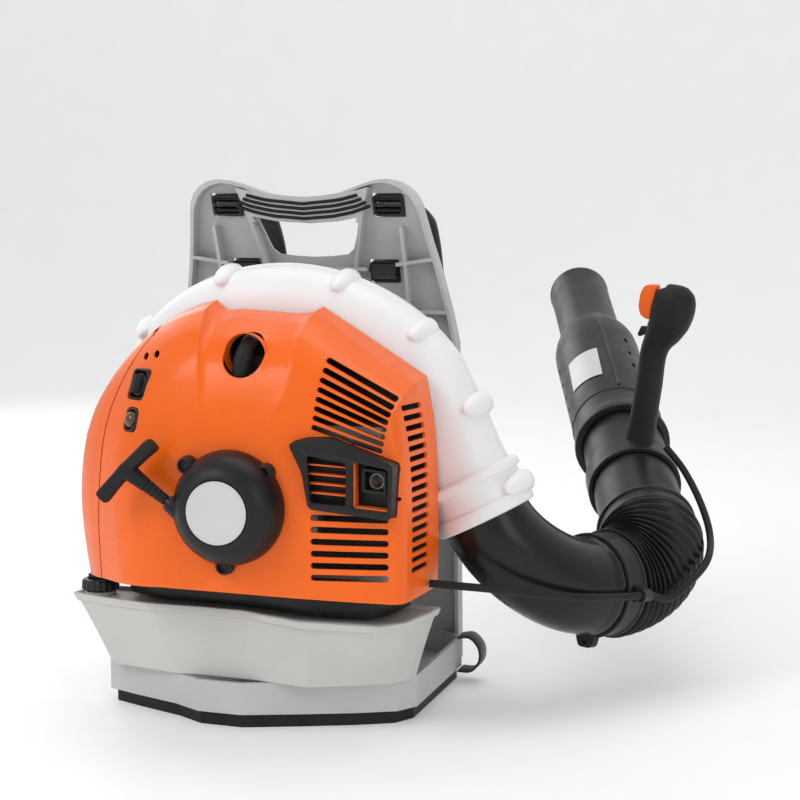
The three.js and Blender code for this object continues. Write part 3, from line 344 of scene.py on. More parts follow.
def rod(name, origin, direction, length, radius, sides=32, edge=0.0):
    stations = [(0, radius - edge), (edge, radius), (length - edge, radius),
        (length, radius - edge)] if edge else [(0, radius), (length, radius)]
    return loft(name, [circle(origin + direction * s, direction, r, sides) for s, r in stations])


def prism(name, outline, low, high, axis="y"):
    """A polygon pushed through along a row axis, from low to high."""
    place = {"y": lambda a, b, d: V(a, d, b), "z": lambda a, b, d: V(a, b, d), "x": lambda a, b,
        d: V(d, a, b)}[axis]
    return loft(name, [[place(a, b, low) for a, b in outline], [place(a, b, high) for a, b in outline]])


def box(name, x0, x1, y0, y1, z0, z1):
    return prism(name, [(x0, z0), (x1, z0), (x1, z1), (x0, z1)], y0, y1)


def block_at(name, centre, x_axis, y_axis, z_axis, size):
    a, b, c = (s / 2 for s in size)
    return loft(name, [[centre + x_axis * u + y_axis * v + z_axis * w for u, v in corners(a, b)]
        for w in (-c, c)])


def smooth_curve(points, count):
    """Evenly spaced points on a centripetal Catmull-Rom curve through the given points."""
    p = [np.array(q, float) for q in points]
    p = [2 * p[0] - p[1], *p, 2 * p[-1] - p[-2]]
    out = []
    for i in range(1, len(p) - 2):
        p0, p1, p2, p3 = p[i - 1:i + 3]
        t = np.cumsum([0] + [max(np.linalg.norm(b - a), 1e-6) ** 0.5 for a,
            b in ((p0, p1), (p1, p2), (p2, p3))])
        for u in np.linspace(t[1], t[2], 24, endpoint=False):
            a1 = (t[1] - u) / (t[1] - t[0]) * p0 + (u - t[0]) / (t[1] - t[0]) * p1
            a2 = (t[2] - u) / (t[2] - t[1]) * p1 + (u - t[1]) / (t[2] - t[1]) * p2
            a3 = (t[3] - u) / (t[3] - t[2]) * p2 + (u - t[2]) / (t[3] - t[2]) * p3
            b1 = (t[2] - u) / (t[2] - t[0]) * a1 + (u - t[0]) / (t[2] - t[0]) * a2
            b2 = (t[3] - u) / (t[3] - t[1]) * a2 + (u - t[1]) / (t[3] - t[1]) * a3
            out.append((t[2] - u) / (t[2] - t[1]) * b1 + (u - t[1]) / (t[2] - t[1]) * b2)
    out.append(p[-2])
    out = np.array(out)
    s = np.concatenate([[0], np.cumsum(np.linalg.norm(np.diff(out, axis=0), axis=1))])
    at = np.linspace(0, s[-1], count)
    return [Vector([np.interp(u, s, out[:, k]) for k in range(out.shape[1])]) for u in at]


def rounded(outline, radius, steps=5):
    """A polygon with rounded corners."""
    n, out = len(outline), []
    for i in range(n):
        p = Vector(outline[i])
        a, b = Vector(outline[i - 1]) - p, Vector(outline[(i + 1) % n]) - p
        cut_back = min(radius, a.length * 0.45, b.length * 0.45)
        start, end = p + a.normalized() * cut_back, p + b.normalized() * cut_back
        for t in np.linspace(0, 1, steps + 1):
            out.append(start * (1 - t) ** 2 + p * 2 * t * (1 - t) + end * t * t)
    return [tuple(q) for q in out]


def sweep(name, points, radius, sides=16, count=60):
    path = smooth_curve(points, count)
    rings, normal = [], None
    for i, p in enumerate(path):
        tangent = (path[min(i + 1, count - 1)] - path[max(i - 1, 0)]).normalized()
        if normal is None:
            normal = axes_for(tangent)[0]
        normal = (normal - tangent * normal.dot(tangent)).normalized()
        other = tangent.cross(normal)
        rings.append([p + normal * (radius * math.cos(a)) + other * (radius * math.sin(a))
            for a in turn(sides)])
    return loft(name, rings)


def between(t, p0, d0, p1, d1, pull):
    h = lambda a, b, c, d: p0 * a + d0 * (b * pull) + p1 * c + d1 * (d * pull)
    point = h(2 * t**3 - 3 * t**2 + 1, t**3 - 2 * t**2 + t, 3 * t**2 - 2 * t**3, t**3 - t**2)
    tangent = h(6 * t**2 - 6 * t, 3 * t**2 - 4 * t + 1, 6 * t - 6 * t**2, 3 * t**2 - 2 * t)
    return point, tangent.normalized()


# ---- every carried-over CAD node gets its finish ----
for entry in frame["record"]["subparts"]:
    node = frame["nodes"][entry["node"]]
    for i in range(max(1, len(node.material_slots))):
        if node.material_slots:
            node.material_slots[i].material = SLOT_MATERIAL[entry["material_slot"]]
        else:
            node.data.materials.append(SLOT_MATERIAL[entry["material_slot"]])

# ---- engine shroud and filter cover ----
LEFT_LINE = [(-176, 127), (-181, 158), (-185, 196), (-184, 232), (-178, 268), (-167, 298), (-150, 326),
    (-131, 350), (-110, 370), (-84, 387), (-62, 396), (-45, 400.5)]
TOP_LINE = [(-45, 400.5), (-39, 394), (-33, 391), (-18, 392), (10, 390.5), (40, 389), (56, 391), (64, 396)]
LOWER_EDGE = [(-180, 127), (-140, 131), (-60, 136.5), (10, 136), (178, 132)]
RIGHT_LINE = [(167, 332), (171, 312), (175.5, 282), (178.5, 233), (179, 180), (178, 133)]
# Depth, then how far the left side, the top and the right side draw in there.
SHROUD_SECTIONS = np.array([[-40, 0, 0, 0], [-58, 3, 3, 0.8], [-75, 8, 7, 1.6], [-90, 23, 14, 2.6],
    [-105, 42, 22, 3.6], [-116, 55, 33, 4.6],
                            [-125, 66, 44, 6], [-130.5, 75, 55, 8], [-134, 82, 65, 11], [-136, 86, 72, 17],
                            [-138, 91, 79, 30], [-140, 97, 88, 45],
                            [-142, 104, 98, 64], [-144, 114, 112, 88], [-145.3, 122, 125, 100],
                            [-146.2, 140, 150, 125], [-146.8, 165, 180, 145]])


def shroud_ring(y, left, top, right):
    outline = smooth_curve(LEFT_LINE, 70) + smooth_curve(TOP_LINE, 40)[1:]
    outline += [Vector((64 + 103 * t, 396 - 64 * t)) for t in np.linspace(0, 1,
        40)[1:]] + smooth_curve(RIGHT_LINE, 60)[1:]
    ring = []
    for x, z in outline:
        wl, wr = max(0, (10 - x) / 190) ** 1.2, max(0, (x - 10) / 168) ** 1.2
        wt = max(0, (z - 240) / 155) ** 1.1
        px = x + left * wl - right * wr
        end = outline[0].y if x < 0 else outline[-1].y
        low = max(0.0, (180 - z) / (180 - end))
        ring.append(V(px, y, z - top * wt + low * (np.interp(px, *zip(*LOWER_EDGE)) - end)))
    return ring


def shroud_body(name):
    rows = []
    for a, b in zip(SHROUD_SECTIONS[:-1], SHROUD_SECTIONS[1:]):
        rows += [a + (b - a) * t for t in np.linspace(0, 1, 3 if b[0] - a[0] < -8 else 2, endpoint=False)]
    rings = [shroud_ring(*row) for row in [*rows, SHROUD_SECTIONS[-1]]]
    skin = loft(name, rings, closed=False)
    n = len(rings[0])
    bm = bmesh.new()
    bm.from_mesh(skin.data)
    front = sorted((v for v in bm.verts if abs(v.co.y + 0.1468) < 1e-5),
        key=lambda v: min(range(n), key=lambda i: (Vector(rings[-1][i]) * MM - v.co).length))
    bm.faces.new(front)
    bmesh.ops.recalc_face_normals(bm, faces=bm.faces)
    side = max(bm.faces, key=lambda f: f.calc_center_median().x)
    if side.normal.x < 0:
        bmesh.ops.reverse_faces(bm, faces=bm.faces)
    bm.to_mesh(skin.data)
    bm.free()
    wall = skin.modifiers.new("wall", "SOLIDIFY")
    wall.thickness, wall.offset, wall.use_even_offset = 2.6 * MM, -1, False
    return baked(skin)


TRIM = [(69, 278), (86, 283), (109, 284), (168, 262), (166, 212), (88, 219), (82, 252)]
SEAM = [(-86, 420), (-89, 379), (-108, 350), (-127, 311), (-137, 277), (-143, 229), (-146, 180), (-145, 60)]


def seam_side(name, shift):
    edge = [(p.x + shift, p.y) for p in smooth_curve(SEAM, 40)]
    return prism(name, edge + [(-260, 60), (-260, 420)], -200, 20)


def slit(name, x0, z0, x1, z1, height, y0=-190, y1=-100, axis="y"):
    r = height / 2
    d = Vector((x1 - x0, z1 - z0)).normalized()
    side = Vector((-d.y, d.x))
    outline = []
    for end, start_angle in ((Vector((x0, z0)), 90), (Vector((x1, z1)), -90)):
        for a in np.linspace(start_angle, start_angle + 180, 6):
            t = math.radians(a)
            outline.append(tuple(end + d * (r * math.cos(t)) + side * (r * math.sin(t))))
    return prism(name, outline, y0, y1, axis)


PANEL_X = unit(0.82, -0.57, 0)
PANEL_UP = PANEL_X.cross(PANEL_OUT)


def panel_hole(centre, half_x, half_z, radius, depth=60):
    rows = []
    for s in (30, 30 - depth):
        rows.append([centre + PANEL_OUT * s + PANEL_X * a + PANEL_UP * b for a, b in
                     rounded(corners(half_x, half_z), radius, 6)])
    return loft("c", rows)


def shroud_cutters():
    out = [rod("c", V(10, -200, 216), BACK, 100, 47.5, 48),
           rod("c", V(PLUG_WINDOW.x, -180, PLUG_WINDOW.z), BACK, 120, PLUG_WINDOW_RADIUS, 40),
           prism("c", rounded([(120 + (x - 120) * 1.012, 248 + (z - 248) * 1.012) for x, z in TRIM], 4), -190,
           -60),
           panel_hole(KNOB, 14.5, 15.5, 6), panel_hole(BULB, 10, 12, 7)]
    for i in range(8):
        t = i / 8
        out.append(slit("c", 89.5 + 5.5 * t, 292 + 67 * t, 151.5 + 8 * t, 272.5 + 51 * t, 4.9))
    for i in range(6):
        out.append(slit("c", 90, 210 - i * 11.1, 156.5, 209.7 - i * 10.8, 5.8))
    for i in range(17):
        z = 160 + i * 9.3
        out.append(slit("c", -111, z, -72, z - 0.5, 5.2, 160, 200, axis="x"))
    for x, z in ((-93, 349), (-78.5, 352)):
        out.append(rod("c", V(x, -180, z), BACK, 150, 3.5, 20))
    out.append(prism("c", rounded([(-101, 371), (-93, 377), (-92, 366)], 1.5), -100, -55))
    out += [rod("c", V(x, -180, z), BACK, 60, 1.9, 16) for x, z in ((167, 256), (168, 229))]
    return out


outer = shroud_body("engine_shroud_skin")
cover = outer.copy()
cover.data = outer.data.copy()
bpy.context.collection.objects.link(cover)
cut(outer, [seam_side("seam", 0.7)])
cut(cover, [seam_side("seam", -0.7)], "INTERSECT")
for piece in (outer, cover):
    cut(piece, shroud_cutters())
outer.name, cover.name = "engine_shroud_skin", "filter_cover_skin"
put(outer, "machine", ORANGE, "orange_cover", ["engine_shroud"], 32)
put(cover, "machine", ORANGE, "orange_cover", ["filter_cover"], 32)

# ---- starter ----
def starter():
    base = CRANK + FRONT * -STARTER_BACK
    profile = [(53, 0), (53.6, 2), (53.2, 8), (51.8, 14), (49.4, 20), (46, 25.5), (41.6, 30.4), (36.8, 33.8),
        (32.4, 35.6), (30.9, 35.8), (30, 35.2), (29.6, BADGE_DEPTH),
               (10, BADGE_DEPTH), (10, 32), (42, 24), (49, 14), (50.5, 0)]
    body = turned("starter_cover_shell", profile, base, FRONT, 96)
    guide = ROPE_START + ROPE_DIR * 26
    nose = loft("c", [circle(guide + ROPE_DIR * s, ROPE_DIR, r, 32) for s,
        r in ((0, 10.5), (8, 9.6), (16, 8.4), (20, 8), (22, 7))])
    lugs = []
    for x, z in STARTER_LUGS:
        out = V(x, 0, z) - CRANK
        out.normalize()
        at = V(x, -145.6, z)
        lugs.append(loft("c", [circle(at + FRONT * s, FRONT, r, 28) for s,
            r in ((0, 8.8), (9, 8.2), (10.6, 7.4), (11, 6.2), (10.6, 5.4), (6.5, 5.2))]))
        lugs.append(block_at("c", at + FRONT * 3.5 - out * 7, out, FRONT, out.cross(FRONT), (14, 7, 12)))
    for piece in [nose, *lugs]:
        cut(body, [piece], "UNION")
    cut(body, [rod("c", guide - ROPE_DIR * 14, ROPE_DIR, 60, 3, 16)])
    put(body, "machine", BLACK, "black_plastic", ["starter_cover"], 30)
    badge_at = base + FRONT * BADGE_DEPTH
    badge = turned("starter_badge_plate", [(0.1, 0), (28.6, 0), (29.2, 0.6), (29.2, 1.5), (28.6, 2.1),
        (27.6, 2.2), (27.2, 1.8), (0.1, 1.9)], badge_at, FRONT, 96)
    put(badge, "machine", SILVER, "badge_silver", ["starter_badge"], 25)
    for x, z in STARTER_LUGS:
        recess = turned("starter_screw_seat", [(0.1, 0), (5, 0), (5, 1.2), (3.4, 1.2), (3.2, 0.4),
            (0.1, 0.4)], V(x, -152.6, z), FRONT, 28)
        put(recess, "machine", BLACK, "black_plastic")


def starter_handle():
    across = unit(0.707, 0, 0.707)
    bar_at = ROPE_START + ROPE_DIR * 97
    rings = []
    for s, w, d in ((-37, 5.4, 6.4), (-36.4, 6.6, 7.6), (-34, 7, 8), (-20, 6.5, 7.6), (-9, 6.4, 7.4),
        (0, 7, 7.8), (9, 6.4, 7.4), (20, 6.5, 7.6), (34, 7, 8), (36.4, 6.6, 7.6), (37, 5.4, 6.4)):
        centre = bar_at + across * s + ROPE_DIR * (1.0 - 1.6 * (s / 37) ** 2)
        x = FRONT
        y = across.cross(x).normalized()
        rings.append([centre + x * d * signed_power(math.cos(t), 0.6) + y * w * signed_power(math.sin(t), 0.6)
                      for t in turn(40)])
    bar = loft("starter_grip_bar", rings)
    stem_at = ROPE_START + ROPE_DIR * 50
    stem = loft("c", [circle(stem_at + ROPE_DIR * s, ROPE_DIR, r, 28) for s,
        r in ((0, 4.2), (0.8, 5), (20, 6), (34, 7.2), (45, 8.4))])
    cut(bar, [stem], "UNION")
    grooves = [turned("c", [(r, 6 + 5.2 * k), (12, 6 + 5.2 * k), (12, 8 + 5.2 * k), (r, 8 + 5.2 * k)],
        stem_at, ROPE_DIR, 28) for k, r in enumerate((4.7, 4.9, 5.2, 5.5))]
    for g in grooves:
        cut(bar, [g])
    put(bar, "starter_grip", SOFT_RUBBER, "black_plastic", ["starter_grip"], 40)
    rope = sweep("starter_rope_cord", [ROPE_START + ROPE_DIR * s for s in (16, 26, 40, 52, 62)], 2.0, 14, 24)
    shade(rope)
    rope.data.materials.append(ROPE)
    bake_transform(rope)
    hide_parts("starter_rope")


starter()
starter_handle()


# ---- muffler guard, choke knob, purge bulb ----
def muffler_trim():
    plate = prism("muffler_guard", rounded(TRIM, 5), -153, -129)
    inner = prism("c", rounded([(120 + (x - 120) * 0.9, 248 + (z - 248) * 0.86) for x, z in TRIM], 4), -148.5,
        -120)
    cut(plate, [inner])
    holes = [prism("c", rounded([(90, 225), (124, 223.5), (124, 262), (87, 268)], 3), -160, -120),
             prism("c", rounded([(130.5, 222), (163.5, 219.5), (163.5, 258), (130.5, 264)], 3), -160, -120)]
    cut(plate, holes)
    soften(plate, 1.1, 2, 40)
    put(plate, "machine", BLACK, "black_plastic", ["muffler_trim"], 35)
    for k in range(4):
        z = 232 + 8.6 * k
        bar = prism(f"guard_rib_{k + 1}", [(84, z + 1), (126, z - 1), (126, z + 0.3), (84, z + 2.3)], -147,
            -138)
        put(bar, "machine", ORANGE, "orange_cover")
    line = prism("guard_edge", [(130.5, 263), (132.2, 263), (132.2, 223.4), (163, 221.2), (163, 219.6),
        (130.5, 221.8)], -150.5, -140)
    put(line, "machine", ORANGE, "orange_cover")
    back = prism("guard_back", rounded([(84, 219), (166, 216), (166, 262), (84, 272)], 4), -136, -134)
    cut(back, [box("c", 143, 157, -150, -120, 237, 252)])
    put(back, "machine", BLACK, "black_plastic")
    box_frame = prism("outlet_frame", rounded([(138, 236), (161, 234.4), (161, 256), (138, 258)], 2.5),
        -148.5, -133)
    cut(box_frame, [prism("c", rounded([(140.6, 238.6), (158.4, 237), (158.4, 253.6), (140.6, 255.4)], 2),
        -160, -120)])
    soften(box_frame, 0.7, 2, 40)
    put(box_frame, "machine", BLACK, "black_plastic")
    pipe = turned("exhaust_pipe", [(6, 0), (7.2, 0), (7.2, 14), (6, 14)], V(149.5, -126, 245.5), FRONT, 32)
    put(pipe, "machine", MUFFLER_STEEL, "muffler_steel")


def controls():
    x, y, _ = axes_for(PANEL_OUT)
    knob = rod("choke_knob_body", KNOB - 11.5 * PANEL_OUT, PANEL_OUT, 11.5, 11.4, 48, edge=1.2)
    blade = block_at("c", KNOB + 3 * PANEL_OUT, y, x, PANEL_OUT, (18, 6.5, 7))
    cut(knob, [blade], "UNION")
    soften(knob, 0.8, 2, 40)
    put(knob, "choke", BLACK, "black_plastic", ["choke_knob"])

    def surround(name, centre, half_x, half_z, radius, bore):
        def row(grow, out):
            return [centre + PANEL_OUT * out + PANEL_X * a + PANEL_UP * b for a, b in
                    rounded(corners(half_x + grow, half_z + grow), radius, 6)]
        well = loft(name, [row(-0.6, -9), row(-0.4, -0.6), row(-1, 0.2), row(-2.4, 0.2), row(-3, -7.4)])
        cut(well, [loft("c", [row(-3, 4), row(-3.2, -5.5)]), rod("c", centre - PANEL_OUT * 14, PANEL_OUT, 20,
            bore, 32)])
        put(well, "machine", BLACK, "black_plastic", angle=40)

    surround("choke_surround", KNOB, 14.5, 15.5, 6, 12)
    surround("purge_surround", BULB, 10, 12, 7, 8.6)
    bulb = turned("purge_dome", [(0.1, -11.5), (8, -11.5), (8, -2), (7.8, 0), (6.8, 2), (5, 3.6), (2.6, 4.6),
        (0.1, 5)], BULB, PANEL_OUT, 40)
    put(bulb, "purge", AMBER, "amber_bulb", ["purge_bulb"])


def plug_lead():
    boot = loft("plug_cap", [circle(V(10, -112.5, 328) + unit(0, -1, 0.1) * s, unit(0, -1, 0.1), r, 28) for s,
        r in ((0, 8.8), (6, 9), (11, 9), (13, 8))])
    lead = sweep("c", [V(10, -119, 331), V(11, -120.5, 341), V(13, -117, 354), V(14, -105, 364),
        V(10, -85, 366), V(-6, -69, 366)], 8, 20, 40)
    cut(boot, [lead], "UNION")
    put(boot, "machine", SOFT_RUBBER, "soft_rubber", ["plug_boot"], 45)
    dish = turned("plug_well", [(PLUG_WINDOW_RADIUS + grow, s) for grow,
        s in ((0.2, 0), (1.2, 0), (0, 10), (-1, 10))], PLUG_WINDOW, BACK, 48)
    put(dish, "machine", ORANGE, "orange_cover")


muffler_trim()
controls()
plug_lead()


# ---- fan housing ----
def volute_radius(angle):
    return float(np.interp(angle % 360, [0, 10, 30, 125, 134, 146, 160, 200, 260, 350, 352, 360],
        [178, 186, 218, 218, 214, 203, 193, 184, 170, 152, 153, 178]))


def volute_ring(y, inset, sides=160):
    ring = []
    for i in range(sides):
        angle = 360 * i / sides
        r = sum(volute_radius(angle + k) for k in (-9, -6, -3, 0, 3, 6, 9)) / 7 - inset
        a = math.radians(angle)
        ring.append(V(10 + r * math.cos(a), y, 216 + r * math.sin(a)))
    return ring


def duct_ring(s, u, v, sides=72):
    centre, across = OUTLET - s * OUTLET_DIR, BACK.cross(OUTLET_DIR)
    ring = []
    for t in turn(sides):
        ring.append(centre + across * u * signed_power(math.cos(t),
            0.8) + BACK * v * signed_power(math.sin(t), 0.8))
    return ring


def fan_housing():
    front = [(-37, 44), (-36.8, 38), (-35.4, 30), (-32, 20.5), (-28, 13.5), (-22, 7.6), (-14, 3.2), (-5, 0.8),
        (4.7, 0)]
    rear = [(5.3, 0), (20, 0.8), (34, 3), (44, 8), (52, 15.5), (58, 25), (61, 33), (62, 38)]
    inner = [(-28, 17), (-20, 9.6), (-10, 4.4), (5, 3), (20, 3.8), (34, 6), (44, 12), (52, 20)]
    for name, depth, node in (("fan_housing_front_shell", front, "fan_housing_front"),
        ("fan_housing_rear_shell", rear, "fan_housing_rear")):
        shell = loft(name, [volute_ring(y, i) for y, i in depth])
        cut(shell, [loft("c", [volute_ring(y, i) for y, i in inner])])
        if node.endswith("rear"):
            cut(shell, [rod("c", V(10, 30, 216), BACK, 60, 82, 72)])
            lip = turned("intake_lip", [(82, 58), (84.5, 58), (84.5, 63.2), (83.8, 64), (82.7, 64),
                (82, 63.2)], CRANK, BACK, 96)
            put(lip, "machine", WHITE, "white_housing")
        put(shell, "machine", WHITE, "white_housing", [node], 40)
    duct = loft("fan_duct", [duct_ring(s, u, v) for s, u, v in ((212, 12, 14), (205, 25, 24), (190, 33, 32),
        (175, 38.4, 36), (158, 43.6, 38.5), (130, 45, 40), (103, 44.4, 41.2), (70, 43, 42), (50, 42.2, 42.8),
                                                               (46, 43, 43.4), (44.6, 48.6, 47.6),
                                                               (43, 50, 49), (38, 50.6, 49.4), (36.4, 50, 49),
                                                               (35.4, 48, 47.6))])
    cut(duct, [loft("c", [duct_ring(s, u, v) for s, u, v in ((190, 28, 26), (158, 40, 35), (103, 41.4, 38.4),
        (60, 40.6, 40.2), (47, 41, 41), (30, 43.4, 43.4))])])
    put(duct, "machine", WHITE, "white_housing", angle=35)
    collar = turned("duct_collar", [(43.6, -37), (47.4, -37), (47.4, -16), (48, -14.6), (49.8, -14),
        (50.4, -13), (50.4, -3), (49.8, -1.6), (48.4, -0.4), (46, 0), (43.6, 0)],
                    OUTLET, OUTLET_DIR, 96, BACK)
    put(collar, "machine", WHITE, "white_housing", angle=35)


fan_housing()


def seam_ridge(name, path):
    """The thin raised joint line round the housing."""
    sections = []
    for i, p in enumerate(path):
        d = (path[min(i + 1, len(path) - 1)] - path[max(i - 1, 0)]).normalized()
        out = d.cross(BACK)
        out = out if out.dot(p - V(10, 5, 216)) > 0 else -out
        sections.append([p + out * o + BACK * y for o, y in ((-3, -2.4), (0.7, -2), (1.5, -1.2), (1.5, 1.2),
            (0.7, 2), (-3, 2.4))])
    ridge = loft(name, sections)
    put(ridge, "machine", WHITE, "white_housing", angle=45)


# Depth, radius and how far the boss sinks into the housing there.
BOSS_PROFILE = [(-34, 1.5, 7), (-31, 4.2, 6.4), (-24, 7, 4.6), (-15, 9, 2.4), (-5, 10.2, 0.6),
                (4, 10.4, 0), (12, 10, 0.2), (17, 8.4, 0.6), (19.4, 5, 1)]
rim = [p for p in volute_ring(5, 0, 300) if not (p.x > 175 and 170 < p.z < 372)]
start = max(range(len(rim)), key=lambda i: (rim[i] - rim[i - 1]).length)
seam_ridge("housing_seam", rim[start:] + rim[:start])
duct_side = BACK.cross(OUTLET_DIR)
duct_side = duct_side if duct_side.x > 0 else -duct_side
seam_ridge("duct_seam", [OUTLET - s * OUTLET_DIR + duct_side * u for s,
    u in ((180, 36.5), (158, 43.6), (130, 45), (103, 44.4), (70, 43), (48, 42.3))])
for i, (x, z) in enumerate(((-137, 371), (-49, 426), (75, 422), (155, 375), (209, 303), (250, 229),
    (-196, 262))):
    middle = CRANK if x < 180 else V(x, 0, z) - unit(0.893, 0, 0.45) * 60
    out = (V(x, 0, z) - middle).normalized()
    at = V(x, 0, z) - out * (2 if x < 200 else 0)
    across = out.cross(BACK)
    boss = loft(f"housing_boss_{i + 1}", [
        [at + BACK * y + out * (r * math.cos(t) - sink) + across * (r * 1.12 * math.sin(t)) for t in turn(40)]
        for y, r, sink in BOSS_PROFILE])
    put(boss, "machine", WHITE, "white_housing", angle=70)


# ---- black base and baffle behind the shroud: painted shade for the dark space under and behind it, partly standing for the real engine base and baffle ----
def painted_shade_baffle():
    inset = [(p[0] * 0.955 + 0.4, 216 + (p[1] - 216) * 0.955) for p in LEFT_LINE + TOP_LINE[1:] + RIGHT_LINE]
    # black sheet across the shroud's rear opening: painted shade that darkens the inside seen through the
    # slots, partly a real baffle
    wall = prism("painted_shade_baffle", [(x, max(z, 140)) for x, z in inset], -44, -42.4)
    cut(wall, [rod("c", V(10, -60, 216), BACK, 40, 44, 40)])
    put(wall, "machine", BLACK, "black_plastic")
    # black slab between tank and shroud: painted shade of the gap under the engine, partly the real engine
    # base
    plan = rounded([(-132, -44), (-128, -74), (-92, -94), (-30, -97), (12, -100), (30, -106), (72, -121),
        (140, -118), (152, -96), (156, -44)], 8, 5)
    base = loft("painted_shade_base", [[V(x, y, z) for x, y in plan] for z in (114, 133)])
    soften(base, 1.5, 2, 40)
    put(base, "machine", BLACK, "black_plastic")


painted_shade_baffle()


# ---- back plate: handle grooves as black strips of painted shade, strap anchors ----
def plate_y(z):
    return float(np.interp(z, [14, 60, 200, 300, 380, 426, 492, 520], [148, 146, 140, 137, 131, 119, 93, 84]))


for k in range(4):
    line = []
    for x in np.linspace(-72 + 4 * k, 72 - 4 * k, 15):
        low = float(np.interp(abs(x), [0, 30, 57, 70], [473, 475, 480, 486]))
        high = float(np.interp(abs(x), [0, 40, 72], [498, 502, 510]))
        z = low + (high - low) * (0.2 + 0.2 * k)
        line.append((x, plate_y(z) - 14.2, z))
    # black strip along each handle groove: painted shade of the groove
    groove = sweep(f"handle_groove_shade_{k + 1}", line, 1.8, 10, 48)
    put(groove, "machine", SOFT_RUBBER, "soft_rubber", angle=60)

SLOTS = [(-88, 492, 34, 24, "top_left"), (88, 492, 34, 24, "top_right"), (-76, 424, 32, 24, "low_left"),
    (76, 424, 32, 24, "low_right")]
for x, z, w, h, name in SLOTS:
    slope = unit(0, plate_y(z + 10) - plate_y(z - 10), 20)
    out = slope.cross(RIGHT)
    centre = V(x, plate_y(z) + 1, z)
    ring = lambda grow, depth: [centre + RIGHT * a + slope * b + out * depth for a, b in rounded(
        corners(w / 2 - grow, h / 2 - grow), 6 - grow * 0.5, 6)]
    frame_piece = loft(f"strap_anchor_{name}", [ring(0.6, -3), ring(0.6, 4.4), ring(1.2, 5), ring(3, 5),
        ring(3.2, -3.4), ring(1.2, -3.6)], looped=True)
    put(frame_piece, "machine", BLACK, "black_plastic", angle=40)
    for k, shift in enumerate((-h / 4, h / 4)):
        start = centre + slope * shift + out * 1.5
        bar = sweep(f"anchor_bar_{name}_{k + 1}", [start - RIGHT * (w / 2 - 2), start,
            start + RIGHT * (w / 2 - 2)], 3.6, 14, 8)
        put(bar, "machine", GLOSSY_BLACK, "black_plastic", angle=60)


def strap(name, path, half, thick, count, mat=WEBBING, x=0.0, superness=0.5):
    """A strap in a plane of constant x; the path holds (y, z), half and thick give its half sizes along it."""
    line = smooth_curve(path, count)
    rings = []
    for i, p in enumerate(line):
        d = (line[min(i + 1, count - 1)] - line[max(i - 1, 0)]).normalized()
        n = Vector((-d[1], d[0]))
        t = i / (count - 1)
        a, b = half(t), thick(t)
        ring = []
        for q in turn(24):
            u = signed_power(math.cos(q), superness) * a
            v = signed_power(math.sin(q), superness) * b
            ring.append(V(x + u, p[0] + n[0] * v, p[1] + n[1] * v))
        rings.append(ring)
    piece = loft(name, rings)
    return put(piece, "machine", mat, "webbing", angle=50)


for side, tag in ((-1, "left"), (1, "right")):
    z = 424
    strap(f"anchor_webbing_{tag}", [(plate_y(z) - 7, z + 7), (plate_y(z) - 8, z), (plate_y(z) - 2, z - 7),
        (plate_y(z) + 8, z - 8), (plate_y(z) + 9, z - 26)],
          lambda t: 12.5, lambda t: 1.2, 30, x=side * 76, superness=0.35)

# ---- fuel tank and cap ----
TANK_RIM = [(-182, -84), (-150, -95), (-92, -107), (-38, -107), (8, -110), (26, -118), (74, -137),
    (150, -136), (168, -114), (178, -67), (180, -45), (-176, -45)]
TANK_FOOT = [(-141, -88), (-104, -98), (-66, -108), (-38, -108), (8, -110), (26, -112), (74, -122),
    (112, -104), (146, -84), (158, -66), (160, -48), (-142, -48)]


def tank_ring(z, grow, radius=2.6):
    t = max(0.0, (z - 44) / 68)
    outline = []
    for (x, y), (fx, fy) in zip(TANK_RIM, TANK_FOOT):
        px, py = fx + (x - fx) * t ** 1.12, fy + (y - fy) * t ** 1.12
        outline.append((px * (1 + grow / 170), -80 + (py + 80) * (1 + grow / 32)))
    return [V(x, y, z) for x, y in rounded(outline, radius, 5)]


def tank():
    levels = [(44.3, -1.2), (45.3, 0)] + [(z, 0) for z in np.linspace(50, 102, 12)] + [(103.4, 0.2),
        (104, 1.8), (104.8, 2.6), (110.6, 2.8), (111.6, 2.3), (112, 1.4),
              (112, -1.5), (110.5, -2.2), (108.5, -2.6)]
    body = loft("fuel_tank_shell", [tank_ring(z, g) for z, g in levels])
    put(body, "machine", TANK_GREY, "grey_tank", ["fuel_tank"], 30)
    base = FUEL_CAP
    rings = []
    for s, r in ((-9, 10.8), (0, 11), (0, 16), (1.4, 18.6), (9.2, 18.2), (11, 16.4), (11.2, 13), (9.6, 12.4)):
        ring = []
        for q in turn(144):
            flute = 0.9 * (0.5 + 0.5 * math.cos(18 * q)) if 15 < r < 18.7 else 0
            ring.append(base + V((r - flute) * math.cos(q), (r - flute) * math.sin(q), s))
        rings.append(ring)
    cap = loft("fuel_cap_body", rings)
    cut(cap, [block_at("c", base + UP * 12.4, RIGHT, BACK, UP, (24, 5, 5.6))], "UNION")
    put(cap, "fuel_cap", BLACK, "black_plastic", ["fuel_cap"], 40)
    neck = turned("filler_neck", [(12.2, -9), (15.6, -9), (15.6, -1.4), (15, -0.8), (12.2, -0.8)], base, UP,
        48)
    put(neck, "machine", TANK_GREY, "grey_tank")


tank()


# ---- air path ----
HOSE_BEND = (HOSE_START, ELBOW_DIR, HOSE_END, TUBE_DIR, HOSE_PULL)
ELBOW_BEND = (OUTLET, OUTLET_DIR, ELBOW_END, ELBOW_DIR, ELBOW_PULL)


def bend_ring(t, radius, sides, bend, hint=UP):
    point, along = between(t, *bend)
    return circle(point, along, radius, sides, hint)


